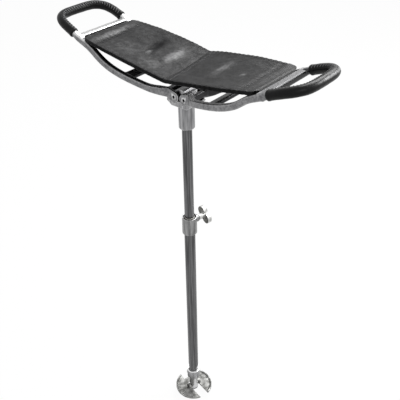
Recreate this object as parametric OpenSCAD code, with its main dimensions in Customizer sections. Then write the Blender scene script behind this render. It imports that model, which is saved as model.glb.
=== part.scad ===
// Shooting stick: two folding cast frames with a leather sling seat on a
// telescopic shaft, with a pivoting ground disc and a short point.
// X runs along the seat, Y from the front of the seat to its back, Z up.
// The origin is on the shaft's axis, at the level where the disc meets the ground.

/* [Hinge] */
// Height of the hinge pins above the ground
hinge_h = 765.5; // [740:0.5:800]
// Distance between the two hinge pins
hinge_gap = 23.2; // [22.4:0.1:26]
// Diameter of a hinge pin
hinge_pin_d = 6; // [4:0.5:7]
// Diameter of the dimple in each end of a hinge pin
pin_dimple_d = 3; // [1:0.5:3.5]
// Depth of the dimple in each end of a hinge pin
pin_dimple_depth = 1.5; // [0.5:0.5:3]
// Diameter of a frame's lug around its hinge pin
lug_d = 20.5; // [17:0.5:21]
// Thickness of one lug
lug_t = 5.8; // [4:0.2:8]
// Thickness of the head block between the lugs
block_t = 28.4; // [24:0.2:32]
// Diameter of the head block's boss around each pin
boss_d = 20; // [16:0.5:20]

/* [Head block] */
// Outside diameter of the socket that holds the upper tube
socket_d = 29.8; // [25:0.2:34]
// Length of the socket below the shoulder
socket_len = 52.5; // [40:0.5:65]
// Height of the chamfer at the socket's lower end
socket_chamfer = 3.5; // [1:0.5:4]
// Half of the shoulder's width along the seat
ear_half_w = 28; // [26:0.5:32]
// Height of the shoulder
ear_h = 11; // [9:0.5:14]
// How far the shoulder's top lies below the hinge pins
ear_drop = 6; // [4:0.5:7]
// Height of the rounded crown above the hinge pins
crown_h = 14.5; // [12:0.5:15]
// Half of the crown's width
crown_half_w = 8; // [6:0.5:8]
// Radius of the crown's corners
crown_r = 5; // [3:0.5:5]
// Height of the socket's set screw above the socket's lower end
socket_screw_h = 16; // [10:1:25]

/* [Frame] */
// How far from the shaft's axis each rail reaches, where the hand loop starts
rail_reach = 200; // [185:1:220]
// Rise of the rail from the hinge pins to the hand loop
rail_rise = 76.2; // [70:0.2:82]
// Width of a rail
rail_w = 12; // [10:0.5:14]
// Height of a rail
rail_h = 12; // [10:0.5:14]
// Half of the hand loop's width, to the bar's centre
loop_half_w = 59.5; // [56:0.5:64]
// Length of the hand loop, to the bar's centre
loop_reach = 68.4; // [60:0.2:75]
// Rise of the hand loop
loop_rise = 24.3; // [20:0.1:28]
// Diameter of the hand loop's bar
bar_d = 12.5; // [10:0.5:13]
// Length of the crossbar's section along the rail
crossbar_w = 14; // [10:0.5:15]
// Thickness of the crossbar
crossbar_t = 11; // [9:0.5:12]
// Radius of the crossbar's edges
crossbar_edge = 2; // [1:0.5:3]
// How far the crossbar stands out beyond the hand loop's centre line on each side
crossbar_over = 4.5; // [2:0.5:6]
// Diameter of the rod that the leather wraps
rod_d = 8.4; // [7:0.2:9]
// Distance from the crossbar's centre back to the rod's centre, along the rail
rod_back = 15.6; // [15.2:0.1:18]
// Height of the rod's centre over the rail's centre line
rod_lift = 3.5; // [2:0.5:5]
// Width of the web between the rails
web_w = 19; // [12:1:24]
// Thickness of the web
web_t = 8; // [5:0.5:10]
// Radius of the fillets where the web meets the rails
web_fillet = 8; // [4:1:12]
// Distance from the shaft's axis to the near face of the heel bar
heel_x = 24.5; // [24:0.5:27]
// Width of the heel bar
heel_w = 7.5; // [5:0.5:9]
// Height of the heel bar
heel_h = 12; // [8:0.5:13]

/* [Grips] */
// Thickness of the leather on a grip
grip_t = 1.9; // [1.5:0.1:3]
// Gap between a grip and the bar inside it
grip_gap = 0.15; // [0.1:0.05:0.3]

/* [Leather seat] */
// Thickness of the doubled leather
leather_t = 3.6; // [2:0.1:4]
// Half of the seat's width at its middle
seat_half_mid = 66; // [62:0.5:70]
// Half of the seat's width at its ends
seat_half_end = 62.5; // [60:0.5:66]
// Sag of the front edge, from the rods to the valley
sag_front = 26.3; // [15:0.1:32]
// Sag of the back edge, from the rods to the valley
sag_back = 19.3; // [12:0.1:30]
// Extra sag half way across the seat
sag_across = 3; // [0:0.5:5]
// Where the valley between the panels meets the front edge
valley_front = 12; // [0:1:16]
// Where the valley between the panels meets the back edge
valley_back = 1; // [-4:1:10]
// Half of the width of the strip that wraps the rod
wrap_half_w = 49; // [40:1:50]
// Length of the flap that is sewn back under the seat
flap_len = 34; // [20:1:45]
// Rise of the flap's free end over its start
flap_rise = 2; // [0:0.5:4]
// Gap between the two panels at the valley
panel_gap = 0.4; // [0.2:0.1:1]

/* [Shaft] */
// Outside diameter of the upper tube
upper_d = 19.05; // [18.55:0.05:19.15]
// Wall of the upper tube
upper_wall = 1.2; // [0.8:0.1:2]
// Height of the upper tube's lower end
upper_foot_h = 342.5; // [320:0.5:360]
// Outside diameter of the lower tube
lower_d = 22.2; // [22.2:0.05:23]
// Bore of the lower tube
lower_bore = 20.2; // [20.2:0.05:20.6]
// Height of the lower tube's top end
lower_top_h = 501.5; // [495:0.5:502]
// Height of the lower tube's lower end
lower_foot_h = 42.5; // [36:0.5:48]
// Length of the liner bush, as a share of the overlap of the two tubes
liner_share = 0.505; // [0.3:0.005:0.6]
// How far the liner bush stands out of the lower tube
liner_over = 1.5; // [0.5:0.5:3]
// Height of the guide plug's flange
plug_flange_h = 14; // [8:1:20]
// Length of the guide plug's spigot in the upper tube
plug_spigot_len = 20; // [12:1:30]

/* [Clamp] */
// Turn of the lower shaft against the seat, about the shaft's axis
lower_twist = -13; // [-90:1:90]
// Outside diameter of the clamp collar
collar_d = 30; // [27:0.5:34]
// Length of the clamp collar
collar_len = 41; // [34:1:50]
// How far the clamp collar stands above the lower tube's end
collar_over = 1; // [0.5:0.5:3]
// Height of the chamfer at the collar's lower end
collar_chamfer = 3; // [1:0.5:4]
// Diameter of the recess in the collar's top
recess_d = 26; // [24.5:0.5:27]
// Depth of the recess in the collar's top
recess_depth = 4; // [2:0.5:6]
// Distance from the collar's top down to the clamp screw's axis
clamp_drop = 12; // [10:0.1:20]
// Diameter of the clamp screw
clamp_screw_d = 6; // [5:0.5:6]
// Diameter of the collar's boss round the clamp screw
clamp_boss_d = 15; // [12:0.5:18]
// Distance from the shaft's axis to the end of that boss
clamp_boss_reach = 20; // [17:0.5:24]
// Distance from the shaft's axis to the middle of the knob's wings
knob_dist = 39.1; // [34:0.1:50]
// Diameter of the knob's neck
neck_d = 12; // [9:0.5:13]
// Gap between the collar's boss and the knob's neck when clamped
neck_gap = 1.8; // [1:0.1:4]
// Radius of one wing
wing_r = 10.2; // [8:0.1:12]
// Distance from the screw's axis to a wing's centre
wing_offset = 9.2; // [8:0.1:13]
// Thickness of the wings
wing_t = 9; // [5:0.5:11]
// How far the end of the knob's neck stands out of the wings
knob_dome = 1; // [0.5:0.1:2]
// Lean of the wings from upright
wing_lean = 50; // [-180:1:180]
// Diameter of the cross pin that fixes the knob to its screw
knob_pin_d = 2.5; // [2:0.1:3]
// Diameter of the clamp screw's tip
tip_d = 3; // [2:0.1:3.5]
// Length of the clamp screw's tip
tip_len = 1; // [0.6:0.1:1.2]
// Diameter of the pressure shoe
shoe_d = 5.8; // [5:0.1:5.8]
// Gap between the pressure shoe and the upper tube
shoe_gap = 0.1; // [0.05:0.05:0.3]
// Height of the pressure shoe along its axis
shoe_h = 1.95; // [1.6:0.05:2.2]
// Diameter of the set screws in the collar and the socket
set_screw_d = 5; // [3:0.5:6]
// Width across the corners of the set screws' hexagon socket
hexagon_d = 2.6; // [1.5:0.1:3]
// Depth of the set screws' hexagon socket
hexagon_depth = 1.6; // [0.5:0.1:2.4]
// Distance from the collar's lower end up to its set screw
collar_screw_h = 13; // [8:1:20]

/* [Foot] */
// Diameter of the ferrule's upper rim
ferrule_d = 30.8; // [28:0.2:36]
// Diameter of the ferrule at its lower end
ferrule_low_d = 29.2; // [24:0.2:30]
// Height of the ferrule's upper rim above the ground
ferrule_top_h = 62.5; // [55:0.5:75]
// Height of the ferrule's lower end above the ground
ferrule_low_h = 37; // [28:0.5:38]
// Height of the band under the ferrule's rim
ferrule_band_h = 3; // [1:0.5:5]
// Height of the step from the ferrule to its neck
ferrule_step_h = 3; // [1:0.5:5]
// Diameter of the ferrule's neck
shank_d = 20; // [16:0.5:21]
// Diameter of the rivet through the ferrule
rivet_d = 4; // [3:0.5:5]
// Direction of the rivet about the shaft's axis
rivet_azimuth = 41; // [0:1:360]
// Diameter of the disc
disc_d = 85; // [76:1:100]
// Thickness of the disc's floor
disc_floor = 3.2; // [2.5:0.1:4]
// Height of the disc's rim
disc_rim_h = 6; // [5:0.5:8]
// Width of the disc's rim
disc_rim_w = 4.5; // [3:0.5:7]
// Diameter of the opening round the neck
disc_hole_d = 28; // [27:0.5:32]
// Width of the open slot at the disc's front
slot_w = 22; // [20.5:0.5:25]
// Width of the cut at the disc's back
back_cut_w = 18; // [12:1:24]
// Distance from the shaft's axis to the bottom of the back cut
back_cut_r = 26; // [22:1:32]
// Height of the disc pin above the ground
disc_pin_h = 5.5; // [5:0.5:7]
// Diameter of the disc pin
disc_pin_d = 5; // [4:0.5:6]
// Radius of the disc's bosses round the pin
disc_boss_r = 6.3; // [5.5:0.1:7]
// Thickness of the disc's bosses
disc_boss_t = 5.6; // [4:0.1:7]
// Diameter of the point's shoulder
point_d = 19; // [16:0.5:19.5]
// Height of the straight part of the point's shoulder
point_land_h = 3.5; // [2.5:0.5:5]
// Distance from the ground's level down to the point's tip
point_depth = 14.5; // [12:0.5:24]
// Diameter of the point's blunt tip
point_tip_d = 4; // [2:0.5:6]
// Diameter of the point's tang
tang_d = 9; // [7:0.5:10]
// Height of the tang's upper end above the ground
tang_top_h = 22; // [16:1:28]

/* [Clearances] */
// Radial gap of a piece that turns or slides on another
run_gap = 0.05; // [0.03:0.01:0.08]
// Radial gap of a piece that is fixed in another
fit_gap = 0.02; // [0.01:0.01:0.04]
// Gap between a lug and the head block
side_gap = 0.3; // [0.2:0.1:0.6]
// Gap between two faces that nearly touch
face_gap = 0.2; // [0.1:0.1:0.5]

/* [Hidden] */
$fn = 64;
// Amount by which a cutting shape runs past what it cuts
over = 2;
// Sides of a swept bar, and steps along its rail and round a quarter of its loop
bar_sides = 12;
rail_steps = 22;
loop_steps = 14;
// Steps of a leather panel along and across the seat
leather_steps = [20, 12];

// Shape of a rail, from the lug to the hand loop: reach, half width, rise and the
// section's width and height, as shares of their values at the loop
reach_shares = [0.115, 0.125, 0.15, 0.19, 0.235, 0.3, 0.475, 0.625, 0.75, 0.875, 1];
width_shares = [0.3, 0.31, 0.36, 0.47, 0.61, 0.731, 0.857, 0.928, 0.945, 0.971, 1];
rise_shares = [0.066, 0.07, 0.085, 0.115, 0.16, 0.223, 0.337, 0.458, 0.604, 0.84, 1];
thick_shares = [0.5, 0.55, 0.75, 0.95, 1, 1, 1, 1, 1, 1, 1];
tall_shares = [1.58, 1.58, 1.5, 1.35, 1.15, 1.02, 1, 1, 1, 1, 1];
// Place of the web and of the crossbar, counted along those lists
web_knot = 6;
crossbar_knot = len(reach_shares) - 1;
// Squareness of the rail's section and of the loop's bar, where 2 is round
rail_square = 5;
bar_square = 2;
// Fullness of the hand loop's outline, where 2 is an ellipse
loop_full = 3.8;
// Slope of the hand loop where it leaves the rail, as a share of its reach
loop_slope_share = 0.5;
// Where a grip starts, as an angle round the loop's quarter
grip_start = 2.1;
// Shoulder outline below the lugs, from the socket to its top corner, as shares
// of its half width and its height
ear_shares = [[0.64, 1], [0.79, 0.7], [0.9, 0.5], [1, 0.35], [1, 0]];
// Curve of the front and back edges' sag
sag_front_power = 0.9;
sag_back_power = 1.95;

hinge_x = hinge_gap / 2;
pin_r = hinge_pin_d / 2;
lug_r = lug_d / 2;
lug_y = block_t / 2 + side_gap;
lug_face_y = lug_y + lug_t;
pin_len = 2 * lug_face_y;
socket_foot_h = hinge_h - ear_drop - ear_h - socket_len + socket_chamfer;
tube_top_h = hinge_h - boss_d / 2 - ear_h;
upper_r = upper_d / 2;
lower_r = lower_d / 2;
collar_r = collar_d / 2;
collar_top_h = lower_top_h + collar_over;
collar_foot_h = collar_top_h - collar_len;
clamp_h = collar_top_h - clamp_drop;
clamp_azimuth = 90 + lower_twist;
screw_r = clamp_screw_d / 2;
shoe_r = shoe_d / 2;
shoe_foot = upper_r + shoe_gap;
shoe_top = shoe_foot + shoe_h;
neck_foot = clamp_boss_reach + neck_gap;
wing_foot = knob_dist - wing_t / 2;
knob_top = knob_dist + wing_t / 2;
liner_top_h = lower_top_h + liner_over;
liner_len = liner_share * (liner_top_h - upper_foot_h);
shank_r = shank_d / 2;
disc_boss_y = shank_r + 2 * face_gap;
disc_boss_face = disc_boss_y + disc_boss_t;
point_top = -3 * face_gap;
leather_bore = rod_d / 2 + face_gap;
leather_r = leather_bore + leather_t;

// Point on a smooth curve through evenly counted values
function slope_at(v, i) =
    i == 0 ? v[1] - v[0]
    : i == len(v) - 1 ? v[i] - v[i - 1]
    : (v[i + 1] - v[i - 1]) / 2;
function curve(v, u) =
    let (i = min(floor(u), len(v) - 2), t = u - i)
    v[i] * (2 * pow(t, 3) - 3 * pow(t, 2) + 1)
    + slope_at(v, i) * (pow(t, 3) - 2 * pow(t, 2) + t)
    + v[i + 1] * (3 * pow(t, 2) - 2 * pow(t, 3))
    + slope_at(v, i + 1) * (pow(t, 3) - pow(t, 2));

// Centre line of a rail, with side -1 at the front and 1 at the back
function rail_point(u, side) = [
    rail_reach * curve(reach_shares, u),
    side * loop_half_w * curve(width_shares, u),
    hinge_h + rail_rise * curve(rise_shares, u)
];
// Slope of a rail, seen from the front
function rail_tilt(u) =
    let (step = 0.2, a = rail_point(u - step, 1), b = rail_point(u, 1))
    atan2(b.z - a.z, b.x - a.x);
// Centre line of the hand loop, from the rail at 0 to the tip at 90 degrees
function loop_point(angle, side) =
    let (out = loop_reach * pow(sin(angle), 2 / loop_full),
         bend = loop_slope_share * loop_reach - loop_rise)
    [
        rail_reach + out,
        side * loop_half_w * pow(cos(angle), 2 / loop_full),
        hinge_h + rail_rise + loop_slope_share * out - bend * pow(out / loop_reach, 2)
    ];

// Rings of a section: place, width, height and squareness
rail_rings = [for (i = [0:rail_steps])
    let (u = i * (len(reach_shares) - 1) / rail_steps)
    [u, rail_w * curve(thick_shares, u), rail_h * curve(tall_shares, u), rail_square]];
grip_angles = [for (i = [0:loop_steps]) grip_start + (90 - grip_start) * i / loop_steps];
frame_path = concat(
    [for (r = rail_rings) [rail_point(r[0], -1), r[1], r[2], r[3]]],
    [for (a = grip_angles) [loop_point(a, -1), bar_d, bar_d, bar_square]],
    [for (i = [loop_steps - 1:-1:0]) [loop_point(grip_angles[i], 1), bar_d, bar_d, bar_square]],
    [for (i = [rail_steps:-1:0]) let (r = rail_rings[i]) [rail_point(r[0], 1), r[1], r[2], r[3]]]
);
function grip_path(d) = concat(
    [for (a = grip_angles) [loop_point(a, -1), d, d, bar_square]],
    [for (i = [loop_steps - 1:-1:0]) [loop_point(grip_angles[i], 1), d, d, bar_square]]
);

// One point of a section, at an angle round the centre line
function section_point(centre, along, w, h, square, angle) =
    let (side = cross(along, [0, 0, 1]) / norm(cross(along, [0, 0, 1])),
         up = cross(side, along),
         c = cos(angle), s = sin(angle),
         r = pow(pow(abs(c), square) + pow(abs(s), square), -1 / square))
    centre + side * (w / 2 * r * c) + up * (h / 2 * r * s);
function along_path(path, i) =
    let (a = path[max(i - 1, 0)][0], b = path[min(i + 1, len(path) - 1)][0])
    (b - a) / norm(b - a);
function path_points(path) = [
    for (i = [0:len(path) - 1], k = [0:bar_sides - 1])
        section_point(path[i][0], along_path(path, i), path[i][1], path[i][2],
                      path[i][3], (k + 0.5) * 360 / bar_sides)
];
// Skin of a sweep, with its first point's number and its sense
function skin_faces(rings, first, inward) = [
    for (i = [0:rings - 2], k = [0:bar_sides - 1])
        let (a = first + i * bar_sides + k,
             b = first + i * bar_sides + (k + 1) % bar_sides,
             c = b + bar_sides, d = a + bar_sides)
        each (inward ? [[a, c, b], [a, d, c]] : [[a, b, c], [a, c, d]])
];

// Solid bar along a path
module swept_bar(path) {
    last = (len(path) - 1) * bar_sides;
    polyhedron(
        points = path_points(path),
        faces = concat(
            skin_faces(len(path), 0, false),
            [[for (k = [bar_sides - 1:-1:0]) k]],
            [[for (k = [0:bar_sides - 1]) last + k]]
        )
    );
}

// Hollow sleeve between two sweeps of one path
module swept_sleeve(outer, inner) {
    count = len(outer) * bar_sides;
    last = count - bar_sides;
    polyhedron(
        points = concat(path_points(outer), path_points(inner)),
        faces = concat(
            skin_faces(len(outer), 0, false),
            skin_faces(len(inner), count, true),
            [for (k = [0:bar_sides - 1]) let (n = (k + 1) % bar_sides)
                each [[n, k, count + k], [n, count + k, count + n]]],
            [for (k = [0:bar_sides - 1]) let (n = (k + 1) % bar_sides)
                each [[last + k, last + n, count + last + k],
                      [last + n, count + last + n, count + last + k]]]
        )
    );
}

// Outline of two round ends joined by straight flanks
function flank(p, r, q, s, side) =
    let (d = q - p, turn = side * acos((r - s) / norm(d)) + atan2(d.y, d.x),
         n = [cos(turn), sin(turn)])
    [p + r * n, q + s * n];
module link_outline(p, r, q, s) {
    one = flank(p, r, q, s, 1);
    two = flank(p, r, q, s, -1);
    translate(p) circle(r = r);
    translate(q) circle(r = s);
    polygon([one[0], one[1], two[1], two[0]]);
}

// Rectangle with rounded corners
module round_outline(w, h, r) {
    square([w - 2 * r, h], center = true);
    square([w, h - 2 * r], center = true);
    for (x = [-1, 1], y = [-1, 1])
        translate([x * (w / 2 - r), y * (h / 2 - r)]) circle(r = r);
}

// Extrudes an outline drawn in X and Z, from one Y to another
module along_y(from, to) {
    translate([0, to, 0]) rotate([90, 0, 0]) linear_extrude(to - from) children();
}

// Turns a shape whose axis is Z so that it points out of the shaft
module radial(azimuth, height) {
    translate([0, 0, height]) rotate([0, 0, azimuth]) rotate([0, 90, 0]) children();
}

// Outline of a lug in X and Z: the round end at the pin, the heel that rests on
// the shoulder and the root of the rail, grown by a gap
module lug_outline(gap) {
    pin = [hinge_x, hinge_h];
    root = [heel_x + rail_w / 4, hinge_h + rail_h * 0.7];
    heel = [heel_x - lug_t / 4, hinge_h - ear_drop / 8];
    heel_r = ear_drop * 7 / 8;
    link_outline(pin, lug_r + gap, root, rail_h / 2 + gap);
    link_outline(pin, lug_r + gap, heel, heel_r + gap);
    link_outline(heel, heel_r + gap, root, rail_h / 2 + gap);
    polygon([pin, heel, root]);
}

// Plate between the rails, with filleted corners
module web_outline(half_len) {
    difference() {
        union() {
            square([web_w, 2 * half_len], center = true);
            for (y = [-1, 1])
                translate([0, y * (half_len - web_fillet / 2)])
                    square([web_w + 2 * web_fillet, web_fillet], center = true);
        }
        for (x = [-1, 1], y = [-1, 1])
            translate([x * (web_w / 2 + web_fillet), y * (half_len - web_fillet)])
                circle(r = web_fillet);
    }
}

// Frame on the right of the seat
module frame_casting() {
    web = rail_point(web_knot, 1);
    bar = rail_point(crossbar_knot, 1);
    difference() {
        union() {
            swept_bar(frame_path);
            for (side = [-1, 1])
                along_y(side * (lug_y + lug_t / 2) - lug_t / 2,
                        side * (lug_y + lug_t / 2) + lug_t / 2)
                    lug_outline(0);
            translate([heel_x, -lug_face_y, hinge_h + face_gap])
                cube([heel_w, 2 * lug_face_y, heel_h]);
            translate([web.x, 0, web.z]) rotate([0, -rail_tilt(web_knot), 0])
                linear_extrude(web_t, center = true)
                    web_outline(web.y - rail_w / 4);
            translate([bar.x, 0, bar.z]) rotate([90, 0, 0])
                linear_extrude(2 * (loop_half_w + crossbar_over), center = true)
                    round_outline(crossbar_w, crossbar_t, crossbar_edge);
            translate([rod_place()[0], 0, rod_place()[1]]) rotate([90, 0, 0])
                cylinder(d = rod_d, h = 2 * (loop_half_w - rail_w / 4), center = true);
        }
        translate([hinge_x, 0, hinge_h]) rotate([90, 0, 0])
            cylinder(r = pin_r + run_gap, h = 2 * (lug_face_y + over), center = true);
    }
}

// Place of the rod's centre in X and Z
function rod_place() =
    let (bar = rail_point(crossbar_knot, 1), tilt = rail_tilt(crossbar_knot))
    [bar.x - rod_back * cos(tilt) - rod_lift * sin(tilt),
     bar.z - rod_back * sin(tilt) + rod_lift * cos(tilt)];

// Top of the leather, from the valley at 0 to the rod at 1, and across it from
// the front edge at 0 to the back edge at 1
function leather_point(along, across, side) =
    let (rod = rod_place(),
         valley = valley_front + (valley_back - valley_front) * across
                  + side * panel_gap / 2,
         x = valley + (side * rod[0] - valley) * along,
         half = seat_half_end + (seat_half_mid - seat_half_end) * (1 - pow(along, 2)),
         front = sag_front * pow(1 - along, sag_front_power),
         back = sag_back * pow(1 - along, sag_back_power),
         dip = sag_across * 4 * across * (1 - across) * (1 - pow(along, 4)))
    [x, half * (2 * across - 1),
     rod[1] + leather_r - front * (1 - across) - back * across - dip];

// One panel of the sling, with side -1 on the left and 1 on the right
module leather_panel(side) {
    nx = leather_steps[0];
    ny = leather_steps[1];
    row = ny + 1;
    count = (nx + 1) * row;
    top = [for (i = [0:nx], j = [0:ny]) leather_point(i / nx, j / ny, side)];
    under = [for (p = top) p - [0, 0, leather_t]];
    sheet = [for (i = [0:nx - 1], j = [0:ny - 1])
        let (a = i * row + j) each [[a, a + row + 1, a + row], [a, a + 1, a + row + 1]]];
    rim = concat(
        [for (i = [0:nx - 1]) let (a = i * row) [a, a + row]],
        [for (j = [0:ny - 1]) let (a = nx * row + j) [a, a + 1]],
        [for (i = [nx:-1:1]) let (a = i * row + ny) [a, a - row]],
        [for (j = [ny:-1:1]) [j, j - 1]]
    );
    faces = concat(
        sheet,
        [for (f = sheet) [f[0] + count, f[2] + count, f[1] + count]],
        [for (e = rim) each [[e[0], e[1], e[1] + count], [e[0], e[1] + count, e[0] + count]]]
    );
    polyhedron(points = concat(top, under),
               faces = side > 0 ? faces : [for (f = faces) [f[0], f[2], f[1]]]);
}

// Strip of leather round the rod, with the flap that is sewn under the seat
module leather_wrap() {
    rod = rod_place();
    translate([rod[0], 0, rod[1]]) along_y(-wrap_half_w, wrap_half_w) {
        difference() {
            circle(r = leather_r);
            circle(r = leather_bore);
            translate([-leather_r - over, -leather_r - over])
                square([leather_r + over, 2 * (leather_r + over)]);
        }
        polygon([[0, -leather_bore], [0, -leather_r],
                 [-flap_len, -leather_r + flap_rise], [-flap_len, -leather_bore + flap_rise]]);
    }
}

module left_frame() {
    color("gray") mirror([1, 0, 0]) frame_casting();
}

module right_frame() {
    color("gray") frame_casting();
}

module grip() {
    inner = bar_d + 2 * grip_gap;
    swept_sleeve(grip_path(inner + 2 * grip_t), grip_path(inner));
}

module left_grip() {
    color("#1c1c1c") mirror([1, 0, 0]) grip();
}

module right_grip() {
    color("#1c1c1c") grip();
}

module seat_left() {
    color("#3a3a3a") union() {
        leather_panel(-1);
        mirror([1, 0, 0]) leather_wrap();
    }
}

module seat_right() {
    color("#333333") union() {
        leather_panel(1);
        leather_wrap();
    }
}

// Half outlines of the shoulder, mirrored about the shaft's axis
module shoulder_outline() {
    half = [for (p = ear_shares) [p[0] * ear_half_w, -ear_drop - p[1] * ear_h]];
    polygon(concat(half, [for (i = [len(half) - 1:-1:0]) [-half[i].x, half[i].y]]));
}

module head_block() {
    color("silver") difference() {
        union() {
            translate([0, 0, socket_foot_h]) rotate_extrude()
                polygon([[0, 0], [socket_d / 2 - socket_chamfer, 0],
                         [socket_d / 2, socket_chamfer],
                         [socket_d / 2, hinge_h - ear_drop - socket_foot_h],
                         [0, hinge_h - ear_drop - socket_foot_h]]);
            translate([0, 0, hinge_h]) along_y(-lug_face_y + side_gap, lug_face_y - side_gap)
                shoulder_outline();
            translate([0, 0, hinge_h]) along_y(-block_t / 2, block_t / 2) {
                link_outline([-hinge_x, 0], boss_d / 2, [hinge_x, 0], boss_d / 2);
                translate([0, crown_h / 2])
                    round_outline(2 * crown_half_w, crown_h, crown_r);
            }
        }
        for (side = [-1, 1], turn = [0, 1]) {
            near = block_t / 2;
            mirror([turn, 0, 0])
                along_y(side * (near + lug_t) - lug_t, side * (near + lug_t) + lug_t)
                    lug_outline(side_gap);
            translate([side * hinge_x, 0, hinge_h]) rotate([90, 0, 0])
                cylinder(r = pin_r + fit_gap, h = block_t + over, center = true);
        }
        translate([0, 0, socket_foot_h - over])
            cylinder(r = upper_r + fit_gap, h = tube_top_h + face_gap - socket_foot_h + over);
        radial(90, socket_foot_h + socket_screw_h)
            cylinder(r = set_screw_d / 2 + fit_gap, h = socket_d);
    }
}

module hinge_pin(side) {
    translate([side * hinge_x, 0, hinge_h]) rotate([90, 0, 0]) difference() {
        cylinder(r = pin_r, h = pin_len, center = true);
        for (end = [-1, 1])
            translate([0, 0, end * pin_len / 2])
                cylinder(d = pin_dimple_d, h = 2 * pin_dimple_depth, center = true);
    }
}

module left_hinge_pin() {
    color("dimgray") hinge_pin(-1);
}

module right_hinge_pin() {
    color("dimgray") hinge_pin(1);
}

// Set screw whose foot bears on a tube, with a hexagon socket in its head
module set_screw(foot, head) {
    difference() {
        translate([0, 0, foot]) cylinder(d = set_screw_d, h = head - foot);
        translate([0, 0, head - hexagon_depth])
            cylinder(d = hexagon_d, h = hexagon_depth + over, $fn = 6);
    }
}

module socket_screw() {
    color("dimgray") radial(90, socket_foot_h + socket_screw_h)
        set_screw(upper_r + face_gap, socket_d / 2 - face_gap);
}

module upper_tube() {
    color("#6a6a6a") translate([0, 0, upper_foot_h]) difference() {
        cylinder(r = upper_r, h = tube_top_h - upper_foot_h);
        translate([0, 0, -over])
            cylinder(r = upper_r - upper_wall, h = tube_top_h - upper_foot_h + 2 * over);
    }
}

module tube_guide_plug() {
    flange_r = lower_bore / 2 - run_gap;
    spigot_r = upper_r - upper_wall - run_gap;
    color("ivory") translate([0, 0, upper_foot_h - face_gap - plug_flange_h]) rotate_extrude()
        polygon([[0, 0], [flange_r - face_gap, 0], [flange_r, face_gap],
                 [flange_r, plug_flange_h], [spigot_r, plug_flange_h],
                 [spigot_r, plug_flange_h + plug_spigot_len],
                 [0, plug_flange_h + plug_spigot_len]]);
}

module lower_tube() {
    color("#6a6a6a") difference() {
        translate([0, 0, lower_foot_h]) cylinder(r = lower_r, h = lower_top_h - lower_foot_h);
        translate([0, 0, lower_foot_h - over])
            cylinder(d = lower_bore, h = lower_top_h - lower_foot_h + 2 * over);
        radial(clamp_azimuth, clamp_h) cylinder(r = screw_r + face_gap, h = collar_d);
        radial(rivet_azimuth, (ferrule_top_h + lower_foot_h) / 2)
            cylinder(r = rivet_d / 2 + fit_gap, h = ferrule_d, center = true);
    }
}

module liner_bush() {
    color("ivory") difference() {
        translate([0, 0, liner_top_h - liner_len])
            cylinder(r = lower_bore / 2 - fit_gap, h = liner_len);
        translate([0, 0, liner_top_h - liner_len - over])
            cylinder(r = upper_r + run_gap, h = liner_len + 2 * over);
        radial(clamp_azimuth, clamp_h) cylinder(r = screw_r + face_gap, h = collar_d);
    }
}

module clamp_collar() {
    bore_r = lower_r + fit_gap;
    color("silver") difference() {
        union() {
            translate([0, 0, collar_foot_h]) rotate_extrude()
                polygon([[0, 0], [collar_r - collar_chamfer, 0], [collar_r, collar_chamfer],
                         [collar_r, collar_len], [0, collar_len]]);
            radial(clamp_azimuth, clamp_h) cylinder(d = clamp_boss_d, h = clamp_boss_reach);
        }
        translate([0, 0, collar_foot_h - over]) cylinder(r = bore_r, h = collar_len + 2 * over);
        translate([0, 0, collar_top_h - recess_depth])
            cylinder(d = recess_d, h = recess_depth + over);
        radial(clamp_azimuth, clamp_h) cylinder(r = screw_r + run_gap, h = collar_d);
        radial(clamp_azimuth + 90, collar_foot_h + collar_screw_h)
            cylinder(r = set_screw_d / 2 + fit_gap, h = collar_d);
    }
}

module collar_screw() {
    color("dimgray") radial(clamp_azimuth + 90, collar_foot_h + collar_screw_h)
        set_screw(lower_r + face_gap, collar_r - face_gap);
}

module clamp_screw() {
    color("dimgray") radial(clamp_azimuth, clamp_h) difference() {
        union() {
            translate([0, 0, shoe_top - tip_len + face_gap / 2]) cylinder(d = tip_d, h = tip_len);
            translate([0, 0, shoe_top + face_gap / 2])
                cylinder(r = screw_r, h = wing_foot + wing_t / 2 - shoe_top - face_gap / 2);
        }
        knob_pin_shape(knob_pin_d / 2 + fit_gap, neck_d + over);
    }
}

// Cross pin through the knob's neck and the screw in it
module knob_pin_shape(r, len) {
    translate([0, 0, (neck_foot + wing_foot) / 2]) rotate([0, 90, 0])
        cylinder(r = r, h = len, center = true);
}

module knob_pin() {
    color("dimgray") radial(clamp_azimuth, clamp_h) knob_pin_shape(knob_pin_d / 2, neck_d);
}

module wing_knob() {
    color("gainsboro") radial(clamp_azimuth, clamp_h) difference() {
        union() {
            translate([0, 0, neck_foot]) cylinder(d = neck_d, h = knob_top + knob_dome - neck_foot);
            translate([0, 0, wing_foot]) rotate([0, 0, -wing_lean]) linear_extrude(wing_t)
                for (side = [-1, 1])
                    translate([side * wing_offset, 0]) circle(r = wing_r);
        }
        translate([0, 0, neck_foot - over])
            cylinder(r = screw_r + fit_gap, h = wing_foot + wing_t / 2 - neck_foot + over + face_gap);
        knob_pin_shape(knob_pin_d / 2 + fit_gap, neck_d + over);
    }
}

module pressure_shoe() {
    color("ivory") radial(clamp_azimuth, clamp_h) difference() {
        translate([0, 0, shoe_foot]) cylinder(r = shoe_r, h = shoe_h);
        translate([0, 0, shoe_top - tip_len])
            cylinder(r = tip_d / 2 + run_gap, h = tip_len + over);
    }
}

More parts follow.
